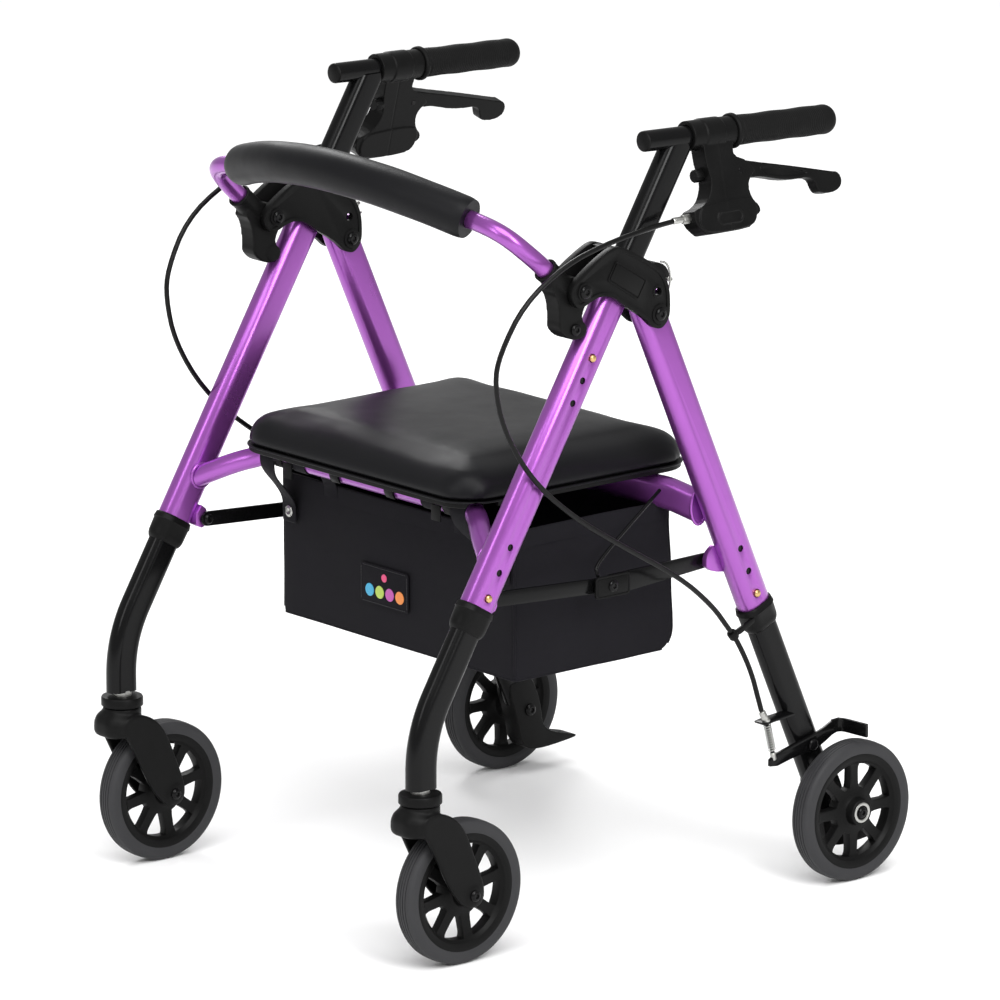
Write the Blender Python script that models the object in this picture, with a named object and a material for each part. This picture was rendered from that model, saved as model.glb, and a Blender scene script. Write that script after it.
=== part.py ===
"""Rollator walker, unfolded on its four wheels.

Metres, +Z up, the front faces -Y and the user's left side is +X. Each paired piece is drawn
for the left side and mirrored for the right one.
"""

import math

import bmesh
import bpy
from mathutils import Matrix, Vector

# Legs: two oval telescopes a side, both in the plane x = LEG_X
LEG_X = 0.25
FRONT_TOP = Vector((LEG_X, 0.0297, 0.805))
FRONT_DOWN = Vector((0.0, -0.5167, -0.8562)).normalized()
FOLD_PIVOT = Vector((LEG_X, -0.0011, 0.648))
REAR_DOWN = Vector((0.0, 0.4094, -0.9124)).normalized()
OUTER_SECTION = (0.0254, 0.0381, 0.008)
OUTER_BORE = (0.0227, 0.0347, 0.0063)
INNER_SECTION = (0.022, 0.034, 0.006)
INNER_BORE = (0.019, 0.031, 0.0045)
FRONT_TUBE = (0.134, 0.508)
REAR_TUBE = (-0.016, 0.3683)
COLLAR_LENGTH = 0.0265
COLLAR_SECTION = (0.0294, 0.042, 0.009)
COLLAR_BORE = (0.0229, 0.0349, 0.0064)
TELESCOPE_GAP = 0.0003

# Snap buttons and the holes they can be moved to, as distances down each leg
HANDLE_BUTTON = 0.2247
HANDLE_HOLES = (0.2501, 0.2755)
FRONT_BUTTON = 0.4937
FRONT_HOLES = (0.4367, 0.4652)
REAR_BUTTON = 0.3516
REAR_HOLES = (0.2946, 0.3231)
BUTTON_RADIUS = 0.004
HOLE_RADIUS = 0.0036
BUTTON_HOLE_RADIUS = 0.0045

# Hubs, at the fold pivot
HUB_OUTER = (0.2630, 0.2705)
HUB_INNER = (0.2295, 0.2370)
HUB_OUTLINE = (
    (-0.121, 0.689), (-0.112, 0.700), (-0.083, 0.718), (-0.070, 0.7245), (-0.062, 0.7265),
    (-0.050, 0.724), (-0.025, 0.711), (0.002, 0.692), (0.010, 0.680), (0.0125, 0.668),
    (0.0125, 0.650), (0.009, 0.639), (-0.002, 0.6326), (-0.012, 0.636), (-0.022, 0.646),
    (-0.048, 0.662), (-0.064, 0.6740), (-0.080, 0.6775), (-0.092, 0.675), (-0.110, 0.668),
    (-0.118, 0.675),
)
BADGE_OUTLINE = ((-0.062, 0.7126), (-0.020, 0.687), (-0.0307, 0.6664), (-0.0729, 0.6929))
HUB_FRONT_SCREW = (-0.1027, 0.6849)
HUB_SPARE_HOLE = (-0.004, 0.672)

# Seat, rails and bag
RAIL_RADIUS = 0.0111
RAIL_CENTRE = (-0.165, 0.4488)
SEAT_HALF = 0.193
SEAT_Y = (-0.198, 0.123)
SEAT_CORNER = 0.040
PAN_Z = (0.455, 0.4618, 0.4635)
CUSHION_RINGS = (
    (0.4638, 0.0040), (0.4655, 0.0012), (0.4690, 0.0), (0.4880, 0.0), (0.4945, 0.0018),
    (0.4985, 0.0060), (0.5010, 0.0150), (0.5025, 0.0350), (0.5030, 0.0700),
)
BAG_HALF = 0.185
BAG_Y = (-0.130, 0.090)
BAG_Z = (0.262, 0.402)
BAG_FRONT_TOP = 0.433
BAG_WALL = 0.003

# Folding struts: front end, knee and rear end
STRUT_FRONT = (-0.202, 0.370)
STRUT_KNEE = (-0.036, 0.360)
STRUT_REAR = (0.095, 0.3655)
STRUT_HALF = 0.008
STRUT_FRONT_X = (0.2285, 0.2320)
STRUT_REAR_X = (0.2325, 0.2360)

# Backrest
BAR_RADIUS = 0.0095
PAD_RADIUS = 0.0219
PAD_HALF = 0.185

# Handles
T_BAR_FRONT = Vector((0.2507, -0.008, 0.826))
T_BAR_REAR = Vector((0.254, 0.249, 0.819))
T_BAR_RADIUS = 0.011
GRIP_RADIUS = 0.0157
BRAKE_TILT = math.radians(15.0)
BRAKE_FRAME = Matrix.Translation((0.2525, 0.0, 0.826)) @ Matrix.Rotation(-BRAKE_TILT, 4, "Y")
HOUSING_HALF = 0.011
LEVER_HALF = 0.0068
LEVER_PIVOT = (0.105, -0.045)
HOUSING_OUTLINE = (
    (0.0607, 0.0), (0.0605, -0.0151), (0.0603, -0.0296), (0.0618, -0.0412), (0.0636, -0.0509),
    (0.0605, -0.0606), (0.0544, -0.0703), (0.0441, -0.0761), (0.0347, -0.0780),
    (0.0326, -0.0828), (0.0335, -0.0925), (0.0450, -0.1041), (0.0488, -0.1051),
    (0.1028, -0.1051), (0.1096, -0.1012), (0.1133, -0.0935), (0.1195, -0.0925),
    (0.1234, -0.0886), (0.1217, -0.0828), (0.1175, -0.0790), (0.1138, -0.0732),
    (0.1119, -0.0635), (0.1146, -0.0557), (0.1209, -0.0499), (0.1251, -0.0470),
    (0.1150, -0.0350), (0.0991, -0.0290), (0.0999, -0.0180), (0.1030, -0.0083), (0.1030, 0.0),
)
LEVER_OUTLINE = (
    (0.0991, -0.0306), (0.1246, -0.0374), (0.1657, -0.0461), (0.2038, -0.0548),
    (0.2323, -0.0616), (0.2391, -0.0625), (0.2438, -0.0683), (0.2431, -0.0761),
    (0.2381, -0.0809), (0.2274, -0.0838), (0.2118, -0.0819), (0.2081, -0.0761),
    (0.2060, -0.0674), (0.1989, -0.0635), (0.1819, -0.0635), (0.1623, -0.0616),
    (0.1434, -0.0567), (0.1326, -0.0545), (0.1180, -0.0538), (0.1040, -0.0535),
    (0.0970, -0.0500), (0.0948, -0.0420), (0.0958, -0.0345),
)

# Wheels
WHEEL_RADIUS = 0.0762
RIM_RADIUS = 0.0622
REAR_WHEEL = Vector((0.2876, 0.2573, WHEEL_RADIUS))
CASTER_STEM = (0.2488, -0.3045)
CASTER_WHEEL = Vector((0.2488, -0.254, WHEEL_RADIUS))
CROWN_FRONT = -0.3335
SPOKES = 8
SPOKE_WIDTH = 0.011
WINDOW = (0.026, 0.051)
TYRE_PROFILE = (
    (-0.0108, 0.0632), (-0.0124, 0.0680), (-0.0108, 0.0744), (-0.0060, WHEEL_RADIUS),
    (0.0060, WHEEL_RADIUS), (0.0108, 0.0744), (0.0124, 0.0680), (0.0108, 0.0632),
)
FORK_GAP = 0.0190
FORK_THICK = 0.0062
FORK_OUTLINE = (
    (-0.326, 0.168), (-0.316, 0.151), (-0.304, 0.126), (-0.290, 0.098), (-0.279, 0.080),
    (-0.268, 0.068), (-0.256, 0.063), (-0.245, 0.065), (-0.240, 0.074), (-0.241, 0.084),
    (-0.246, 0.099), (-0.254, 0.119), (-0.266, 0.146), (-0.279, 0.164), (-0.297, 0.173),
)

# Brake at the rear wheel
ARM_PIVOT = (0.220, 0.150)
ARM_X = (0.2628, 0.2668)
ARM_OUTLINE = (
    (0.160, 0.1325), (0.203, 0.1418), (0.221, 0.1415), (0.240, 0.1500), (0.255, 0.1570),
    (0.2645, 0.1570), (0.2645, 0.1720), (0.252, 0.1715), (0.233, 0.1630), (0.216, 0.1590),
    (0.190, 0.1535), (0.160, 0.1465),
)
CABLE_RADIUS = 0.00275
CABLE_ROUTE = (
    (0.2744, 0.0105, 0.7436), (0.2730, -0.0090, 0.7425), (0.2712, -0.0340, 0.7400),
    (0.2705, -0.0830, 0.7333), (0.2700, -0.1366, 0.7190), (0.2700, -0.1897, 0.6860),
    (0.2700, -0.2190, 0.6367), (0.2700, -0.2234, 0.6063), (0.2700, -0.2122, 0.5584),
    (0.2700, -0.1763, 0.5020), (0.2700, -0.1226, 0.4551), (0.2700, -0.0546, 0.4125),
    (0.2690, 0.0282, 0.3649), (0.2650, 0.0780, 0.3250), (0.2625, 0.1025, 0.2965),
    (0.2622, 0.1170, 0.2786), (0.2645, 0.1340, 0.2440), (0.2665, 0.1425, 0.2130),
    (0.2667, 0.1468, 0.1998),
)


def clear_scene():
    for obj in list(bpy.data.objects):
        bpy.data.objects.remove(obj, do_unlink=True)


def material(name, colour, metallic, roughness):
    made = bpy.data.materials.new(name)
    made.use_nodes = True
    shader = made.node_tree.nodes["Principled BSDF"]
    shader.inputs["Base Color"].default_value = (*colour, 1.0)
    shader.inputs["Metallic"].default_value = metallic
    shader.inputs["Roughness"].default_value = roughness
    made.diffuse_color = (*colour, 1.0)
    return made


def circle(radius, count, phase=0.0):
    turns = [2 * math.pi * (i + phase) / count for i in range(count)]
    return [(radius * math.cos(turn), radius * math.sin(turn)) for turn in turns]


def rounded_rect(width, depth, radius, steps=2):
    """Corner points anticlockwise from the middle of the first side."""
    points = []
    corners = ((1, 1), (-1, 1), (-1, -1), (1, -1))
    for number, (sx, sy) in enumerate(corners):
        cx = sx * (width / 2 - radius)
        cy = sy * (depth / 2 - radius)
        for i in range(steps + 1):
            turn = math.radians(90 * (number + i / steps))
            points.append((cx + radius * math.cos(turn), cy + radius * math.sin(turn)))
    return points


def skin(bm, rings, wrap=False, capped=True):
    """Quads between rings of points; the ends are capped, or joined when wrap is set."""
    made = [[bm.verts.new(p) for p in ring] for ring in rings]
    pairs = list(zip(made, made[1:]))
    if wrap:
        pairs.append((made[-1], made[0]))
    for one, two in pairs:
        count = len(one)
        for j in range(count):
            k = (j + 1) % count
            bm.faces.new((one[j], one[k], two[k], two[j]))
    if capped and not wrap:
        bm.faces.new(made[0][::-1])
        bm.faces.new(made[-1])
    if bm.calc_volume(signed=True) < 0:
        bmesh.ops.reverse_faces(bm, faces=bm.faces[:])
    return bm


def new_solid():
    return bmesh.new()


def sweep(path, section, side=(1, 0, 0), bore=None):
    """A section carried along a path without twist. A bore makes it a tube open at both ends."""
    path = [Vector(p) for p in path]
    across = Vector(side)
    outer = []
    inner = []
    for i, point in enumerate(path):
        ahead = (path[min(i + 1, len(path) - 1)] - point).normalized()
        behind = (point - path[max(i - 1, 0)]).normalized()
        along = (ahead + behind).normalized()
        across = (across - along * across.dot(along)).normalized()
        up = along.cross(across)
        outer.append([point + across * a + up * b for a, b in section])
        if bore:
            inner.append([point + across * a + up * b for a, b in bore])
    bm = new_solid()
    if bore:
        return skin(bm, outer + inner[::-1], wrap=True)
    return skin(bm, outer)


def lathe(profile, start, axis, count=24, loop=False, phase=0.0):
    """Turns (distance along the axis, radius) about an axis; loop makes a ring of a closed profile."""
    start = Vector(start)
    axis = Vector(axis).normalized()
    side = Vector((0, 0, 1)) if abs(axis.z) < 0.9 else Vector((0, 1, 0))
    across = (side - axis * side.dot(axis)).normalized()
    up = axis.cross(across)
    bm = new_solid()
    rings = []
    for distance, radius in profile:
        centre = start + axis * distance
        rings.append([centre + across * a + up * b for a, b in circle(radius, count, phase)])
    return skin(bm, rings, wrap=loop)


def rod(start, end, radius, count=12):
    start = Vector(start)
    length = (Vector(end) - start).length
    return lathe(((0, radius), (length, radius)), start, Vector(end) - start, count)


def x_rod(y, z, x0, x1, radius, count=12):
    return rod((x0, y, z), (x1, y, z), radius, count)


def prism(outline, x0, x1):
    bm = new_solid()
    rings = [[Vector((x, y, z)) for y, z in outline] for x in (x0, x1)]
    return skin(bm, rings)


def box(x0, x1, y0, y1, z0, z1):
    return prism(((y0, z0), (y1, z0), (y1, z1), (y0, z1)), x0, x1)


def join(*solids):
    """Several solids that don't meet, as one tool."""
    whole = new_solid()
    for bm in solids:
        mesh = bpy.data.meshes.new("joined")
        bm.to_mesh(mesh)
        whole.from_mesh(mesh)
        bm.free()
        bpy.data.meshes.remove(mesh)
    return whole


def moved(bm, matrix):
    bm.transform(matrix)
    return bm


def inset(outline, distance):
    """The outline moved inwards, corner by corner."""
    count = len(outline)
    area = sum(
        outline[i][0] * outline[(i + 1) % count][1] - outline[(i + 1) % count][0] * outline[i][1]
        for i in range(count)
    )
    turn = 1 if area > 0 else -1
    points = []
    for i in range(count):
        before = Vector(outline[i - 1])
        here = Vector(outline[i])
        after = Vector(outline[(i + 1) % count])
        one = (here - before).normalized()
        two = (after - here).normalized()
        way = Vector((-(one.y + two.y), one.x + two.x)).normalized() * turn
        normal = Vector((-one.y, one.x)) * turn
        points.append(tuple(here + way * (distance / max(way.dot(normal), 0.5))))
    return points


def to_object(name, bm, side, mat, origin):
    """The solid as an object with its origin given for the left side, mirrored when side is -1."""
    where = Vector(origin)
    bm.transform(Matrix.Translation(-where))
    if side < 0:
        bm.transform(Matrix.Scale(-1, 4, (1, 0, 0)))
        bmesh.ops.reverse_faces(bm, faces=bm.faces[:])
        where.x = -where.x
    mesh = bpy.data.meshes.new(name)
    bm.to_mesh(mesh)
    bm.free()
    obj = bpy.data.objects.new(name, mesh)
    obj.location = where
    if mat:
        mesh.materials.append(mat)
    bpy.context.collection.objects.link(obj)
    return obj


def piece(name, side, mat, origin, base, *steps):
    """An object: the base with each ("UNION" or "DIFFERENCE", solid) applied in turn."""
    obj = to_object(name, base, side, mat, origin)
    for number, (operation, bm) in enumerate(steps, 1):
        tool = to_object(f"{name}.tool{number}", bm, side, None, origin)
        tool.hide_render = True
        tool.display_type = "WIRE"
        modifier = obj.modifiers.new(tool.name, "BOOLEAN")
        modifier.operation = operation
        modifier.solver = "EXACT"
        modifier.object = tool
    return obj


def side_name(name, side):
    return f"{name}_{'left' if side > 0 else 'right'}"


def both_sides(points):
    """A left half route, listed from its end to the middle, with its mirror image."""
    mirrored = [(-x, y, z) for x, y, z in points[::-1]]
    if abs(points[-1][0]) < 1e-6:
        mirrored = mirrored[1:]
    return list(points) + mirrored


def smooth(points, times=2):
    """Corner cutting that keeps the two ends."""
    points = [Vector(p) for p in points]
    for _ in range(times):
        cut = [points[0]]
        for one, two in zip(points, points[1:]):
            cut.append(one.lerp(two, 0.25))
            cut.append(one.lerp(two, 0.75))
        cut.append(points[-1])
        points = cut
    return points


def front(distance):
    return FRONT_TOP + FRONT_DOWN * distance


def rear(distance):
    return FOLD_PIVOT + REAR_DOWN * distance


def t_bar(y):
    share = (y - T_BAR_FRONT.y) / (T_BAR_REAR.y - T_BAR_FRONT.y)
    return T_BAR_FRONT.lerp(T_BAR_REAR, share)


def hole(point, radius, x0=0.2575, x1=0.2650):
    return x_rod(point.y, point.z, x0, x1, radius, 8)


def stadium(one, two, half_one, half_two, steps=5):
    """A flat bar with rounded ends, in the side plane."""
    one = Vector(one)
    two = Vector(two)
    heading = math.atan2(two.y - one.y, two.x - one.x)
    points = []
    for centre, half, start in ((two, half_two, -90), (one, half_one, 90)):
        for i in range(steps + 1):
            turn = heading + math.radians(start + 180 * i / steps)
            points.append((centre.x + half * math.cos(turn), centre.y + half * math.sin(turn)))
    return points


def build_front_leg(side, mat):
    tube = sweep(
        [front(t) for t in FRONT_TUBE], rounded_rect(*OUTER_SECTION),
        bore=rounded_rect(*OUTER_BORE),
    )
    lug = prism(
        (
            (-0.2023, 0.3850), (-0.1958, 0.3805), (-0.1932, 0.3740), (-0.1932, 0.3665),
            (-0.1962, 0.3610), (-0.2030, 0.3592), (-0.2147, 0.3640),
        ),
        0.2335, 0.2450,
    )
    pin = lathe(
        ((0, 0.0045), (0.0008, 0.0055), (0.003, 0.0055), (0.003, 0.003), (0.0095, 0.003)),
        (0.2250, *STRUT_FRONT), (1, 0, 0), 12,
    )
    holes = [hole(front(t), HOLE_RADIUS) for t in HANDLE_HOLES + FRONT_HOLES]
    holes += [hole(front(t), BUTTON_HOLE_RADIUS) for t in (HANDLE_BUTTON, FRONT_BUTTON)]
    piece(
        side_name("front_leg", side), side, mat, front(FRONT_TUBE[0]), tube,
        ("UNION", lug), ("UNION", pin), ("DIFFERENCE", join(*holes)),
    )


def build_rear_leg(side, mat):
    tube = sweep(
        [rear(s) for s in REAR_TUBE], rounded_rect(*OUTER_SECTION),
        bore=rounded_rect(*OUTER_BORE),
    )
    lug = prism(
        (
            (0.0990, 0.3800), (0.0905, 0.3740), (0.0868, 0.3685), (0.0872, 0.3610),
            (0.0930, 0.3572), (0.1020, 0.3545), (0.1113, 0.3520),
        ),
        0.2385, 0.2450,
    )
    pin = lathe(
        ((0, 0.0045), (0.0008, 0.0055), (0.0032, 0.0055), (0.0032, 0.003), (0.0105, 0.003)),
        (0.2289, *STRUT_REAR), (1, 0, 0), 12,
    )
    holes = [hole(rear(s), HOLE_RADIUS) for s in REAR_HOLES]
    holes.append(hole(rear(REAR_BUTTON), BUTTON_HOLE_RADIUS))
    holes.append(x_rod(FOLD_PIVOT.y, FOLD_PIVOT.z, 0.235, 0.265, 0.00435))
    piece(
        side_name("rear_leg", side), side, mat, FOLD_PIVOT, tube,
        ("UNION", lug), ("UNION", pin), ("DIFFERENCE", join(*holes)),
    )


def collar(point, top):
    """A moulded collar below a tube mouth, from top down the leg."""
    width, depth, radius = COLLAR_SECTION
    levels = ((0.0, 0.0005), (0.020, 0.0), (COLLAR_LENGTH, 0.0022))
    bore = [rounded_rect(*COLLAR_BORE)] * 2
    rings = [rounded_rect(width - 2 * d, depth - 2 * d, radius - d) for _, d in levels]
    along = (point(1.0) - point(0.0)).normalized()
    across = Vector((1, 0, 0))
    up = along.cross(across)
    placed = []
    for (distance, _), ring in zip(levels, rings):
        centre = point(top + distance)
        placed.append([centre + across * a + up * b for a, b in ring])
    for distance, ring in zip((COLLAR_LENGTH, 0.0), bore):
        centre = point(top + distance)
        placed.append([centre + across * a + up * b for a, b in ring])
    return skin(new_solid(), placed, wrap=True)


def build_collars(side, mat):
    top = FRONT_TUBE[1] + TELESCOPE_GAP
    piece(side_name("front_collar", side), side, mat, front(top), collar(front, top))
    top = REAR_TUBE[1] + TELESCOPE_GAP
    guide = lathe(
        ((-0.004, 0.0033), (-0.004, 0.0052), (0.004, 0.0052), (0.004, 0.0033)),
        (0.2624, 0.1097, 0.2876), (0, 0.63, -0.777), 12, loop=True,
    )
    arm = prism(
        ((0.1156, 0.2867), (0.1190, 0.2868), (0.1390, 0.2965), (0.1390, 0.3030), (0.1130, 0.2912)),
        0.2605, 0.2635,
    )
    piece(
        side_name("rear_collar", side), side, mat, FOLD_PIVOT, collar(rear, top),
        ("UNION", arm), ("UNION", guide),
    )


def build_hub(side, mat, bolt_mat):
    x0, x1 = HUB_OUTER
    holes = [
        x_rod(*HUB_FRONT_SCREW, 0.225, 0.275, 0.0044),
        x_rod(FOLD_PIVOT.y, FOLD_PIVOT.z, 0.225, 0.275, 0.0044),
        x_rod(*HUB_SPARE_HOLE, 0.225, 0.275, 0.0045),
    ]
    badge = prism(inset(BADGE_OUTLINE, 0.0008), x1 - 0.001, x1 + 0.001)
    piece(
        side_name("hub_outer", side), side, mat, FOLD_PIVOT, prism(HUB_OUTLINE, x0, x1),
        ("DIFFERENCE", join(*holes)), ("DIFFERENCE", badge),
    )
    holes = [
        x_rod(*HUB_FRONT_SCREW, 0.225, 0.275, 0.0044),
        x_rod(FOLD_PIVOT.y, FOLD_PIVOT.z, 0.225, 0.275, 0.0044),
        x_rod(*HUB_SPARE_HOLE, 0.225, 0.275, 0.0045),
    ]
    piece(
        side_name("hub_inner", side), side, mat, FOLD_PIVOT, prism(HUB_OUTLINE, *HUB_INNER),
        ("DIFFERENCE", join(*holes)),
    )
    bolt = screw(FOLD_PIVOT.y, FOLD_PIVOT.z, 0.0075)
    piece(side_name("fold_bolt", side), side, bolt_mat, FOLD_PIVOT, bolt)


def screw(y, z, head):
    """A headed pin through both hub plates."""
    profile = (
        (0.0, head - 0.0008), (0.0030, head), (0.0030, 0.004),
        (0.0446, 0.004), (0.0446, head), (0.0476, head - 0.0008),
    )
    return lathe(profile, (0.2262, y, z), (1, 0, 0), 12)


def beyond_legs():
    """Everything outside the two inner faces of the legs, less the usual gap."""
    inner = LEG_X - OUTER_SECTION[0] / 2 - 0.0003
    return join(
        box(inner, 0.30, -0.30, 0.20, 0.30, 0.50), box(-0.30, -inner, -0.30, 0.20, 0.30, 0.50)
    )


def build_rails(mat):
    half = [(0.2480, -0.2095, 0.4110), (0.215, -0.1930, 0.4280), (0.197, -0.1815, 0.4365)]
    half += [(0.183, -0.1720, 0.4414), (0.168, -0.1652, 0.4474), (0.150, *RAIL_CENTRE)]
    smoothed = smooth(half, 1) + [Vector((0.0, *RAIL_CENTRE))]
    route = both_sides([tuple(p) for p in smoothed])
    rail = sweep(route, circle(RAIL_RADIUS, 10), side=(0, 0, 1))
    piece("front_rail", 1, mat, (0, *RAIL_CENTRE), rail, ("DIFFERENCE", beyond_legs()))
    half = [(0.2480, 0.0860, 0.4225), (0.220, 0.0785, 0.4300), (0.200, 0.0735, 0.4350)]
    half += [(0.180, 0.0690, 0.4353), (0.150, 0.068, 0.4355), (0.0, 0.068, 0.4355)]
    smoothed = smooth(half[:5], 1) + [Vector(half[5])]
    route = both_sides([tuple(p) for p in smoothed])
    brace = sweep(route, rounded_rect(0.035, 0.0195, 0.0095), side=(0, 0, 1))
    piece("rear_brace", 1, mat, (0, FOLD_PIVOT.y, FOLD_PIVOT.z), brace, ("DIFFERENCE", beyond_legs()))


def seat_outline(gap, z):
    width = 2 * (SEAT_HALF - gap)
    depth = SEAT_Y[1] - SEAT_Y[0] - 2 * gap
    middle = (SEAT_Y[0] + SEAT_Y[1]) / 2
    points = rounded_rect(width, depth, max(SEAT_CORNER - gap, 0.006), 3)
    return [Vector((a, middle + b, z)) for a, b in points]


def build_seat(pan_mat, cushion_mat):
    low, floor, top = PAN_Z
    pan = skin(new_solid(), [seat_outline(g, z) for g, z in (
        (0.0050, floor), (0.0045, low), (0.0010, low), (0.0006, top),
    )])
    steps = []
    for x in (-0.140, -0.045, 0.045, 0.140):
        clip = lathe(
            ((-0.007, 0.0119), (-0.007, 0.0138), (0.007, 0.0138), (0.007, 0.0119)),
            (x, *RAIL_CENTRE), (1, 0, 0), 12, loop=True,
        )
        steps.append(("UNION", clip))
    steps.append(("DIFFERENCE", box(-0.2, 0.2, -0.19, -0.14, 0.430, 0.4390)))
    # the front corners have no rim, so that they clear the bends of the rail when lifted
    for x0, x1 in ((-0.200, -0.150), (0.150, 0.200)):
        steps.append(("DIFFERENCE", box(x0, x1, -0.205, -0.150, 0.450, floor)))
    piece("seat_pan", 1, pan_mat, (0, *RAIL_CENTRE), pan, *steps)
    cushion = skin(new_solid(), [seat_outline(gap, z) for z, gap in CUSHION_RINGS])
    piece("seat_cushion", 1, cushion_mat, (0, *RAIL_CENTRE), cushion)


def bag_outline(gap, z, rear_gap=0.0):
    width = 2 * (BAG_HALF - gap)
    y0 = BAG_Y[0] + gap
    y1 = BAG_Y[1] - gap - rear_gap
    points = rounded_rect(width, y1 - y0, 0.014 - min(gap, 0.006), 2)
    return [Vector((a, (y0 + y1) / 2 + b, z)) for a, b in points]


def build_bag(mat):
    low, high = BAG_Z
    wall = BAG_WALL
    rings = [
        bag_outline(0.007, low, 0.013), bag_outline(0.002, low + 0.004, 0.008),
        bag_outline(0.0, low + 0.018), bag_outline(0.0, high),
        bag_outline(wall, high), bag_outline(wall, low + 0.018 + wall),
        bag_outline(wall + 0.002, low + 0.004 + wall, 0.008),
        bag_outline(wall + 0.007, low + wall, 0.013),
    ]
    steps = [("UNION", box(-0.170, 0.170, -0.1298, -0.1272, 0.396, BAG_FRONT_TOP))]
    for x in (-0.165, 0.165):
        strap = box(x - 0.010, x + 0.010, -0.1330, -0.1285, 0.345, 0.3955)
        snap = rod((x, -0.1325, 0.378), (x, -0.1355, 0.378), 0.006, 8)
        steps += [("UNION", strap), ("UNION", snap)]
    for x in (-0.107, 0.107):
        tab = prism(
            (
                (-0.1285, 0.4260), (-0.1285, 0.4310), (-0.1470, 0.4375), (-0.1578, 0.4392),
                (-0.1602, 0.4376), (-0.1470, 0.4350),
            ),
            x - 0.012, x + 0.012,
        )
        loop = lathe(
            ((-0.012, 0.0118), (-0.012, 0.0128), (0.012, 0.0128), (0.012, 0.0118)),
            (x, *RAIL_CENTRE), (1, 0, 0), 12, loop=True,
        )
        steps += [("UNION", tab), ("UNION", loop)]
    piece("bag", 1, mat, (0, *RAIL_CENTRE), skin(new_solid(), rings), *steps)


def build_struts(side, mat):
    y, z = STRUT_FRONT
    bar = prism(stadium(STRUT_FRONT, STRUT_KNEE, STRUT_HALF, STRUT_HALF), *STRUT_FRONT_X)
    route = smooth(
        (
            (0.2302, -0.046, 0.3620), (0.2290, -0.050, 0.3740), (0.2262, -0.0500, 0.3800),
            (0.2200, -0.020, 0.3990), (0.2100, 0.053, 0.4430),
        ),
        1,
    )
    wire = sweep(route, circle(0.0015, 8))
    piece(
        side_name("strut_front", side), side, mat, (0.2302, y, z), bar,
        ("DIFFERENCE", x_rod(y, z, 0.227, 0.234, 0.0034)), ("UNION", wire),
    )
    y, z = STRUT_REAR
    bar = prism(stadium(STRUT_REAR, STRUT_KNEE, STRUT_HALF, 0.0115), *STRUT_REAR_X)
    bolt = lathe(
        ((0, 0.006), (0.0028, 0.006), (0.0036, 0.0052)), (0.2355, *STRUT_KNEE), (1, 0, 0), 12
    )
    piece(
        side_name("strut_rear", side), side, mat, (0.2342, y, z), bar,
        ("DIFFERENCE", x_rod(y, z, 0.231, 0.238, 0.0034)), ("UNION", bolt),
    )


def bow(x):
    share = 1 - (x / PAD_HALF) ** 2
    return (x, -0.1852 - 0.0368 * share, 0.7583 + 0.0281 * share)


def build_backrest(bar_mat, pad_mat, clamp_mat):
    pivot = (0.0, *HUB_FRONT_SCREW)
    end = [(0.25, -0.118, 0.690), (0.25, -0.1440, 0.7144), (0.247, -0.160, 0.7285)]
    end += [(0.240, -0.1765, 0.744), (0.225, -0.184, 0.7525), (0.205, -0.186, 0.7565)]
    steps = [PAD_HALF * (1 - i / 5) for i in range(6)]
    arc = [Vector(bow(x)) for x in steps]
    half = [Vector(p) for p in end] + arc
    route = both_sides([tuple(p) for p in half])
    bar = sweep(route, circle(BAR_RADIUS, 10), side=(0, 0, 1))
    piece("backrest_bar", 1, bar_mat, pivot, bar)
    whole = both_sides([tuple(p) for p in arc])
    pad = sweep(whole, circle(PAD_RADIUS, 10), side=(0, 0, 1), bore=circle(0.0104, 10))
    piece("backrest_pad", 1, pad_mat, pivot, pad)
    outline = (
        (-0.1386, 0.6905), (-0.1306, 0.679), (-0.1278, 0.658), (-0.129, 0.6477),
        (-0.121, 0.639), (-0.1117, 0.6348), (-0.1036, 0.6337), (-0.0970, 0.6360),
        (-0.0940, 0.6430), (-0.0975, 0.6520), (-0.0985, 0.660), (-0.092, 0.672), (-0.0895, 0.684),
        (-0.094, 0.695), (-0.104, 0.6990), (-0.116, 0.700), (-0.128, 0.707),
    )
    mouth = Vector((0.25, -0.1400, 0.7107))
    heel = Vector((0.25, -0.1165, 0.6886))
    along = (mouth - heel).normalized()
    socket = rod(heel - along * 0.004, mouth, 0.0126, 12)
    bore = rod(heel, mouth + along * 0.01, 0.0104, 12)
    for side in (1, -1):
        stop = x_rod(-0.1012, 0.6437, 0.2392, 0.2608, 0.0089)
        piece(
            side_name("backrest_clamp", side), side, clamp_mat, (0.25, *HUB_FRONT_SCREW),
            prism(outline, 0.239, 0.261), ("UNION", socket.copy()),
            ("DIFFERENCE", bore.copy()), ("UNION", screw(*HUB_FRONT_SCREW, 0.0078)),
            ("UNION", stop),
        )
    socket.free()
    bore.free()


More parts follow.
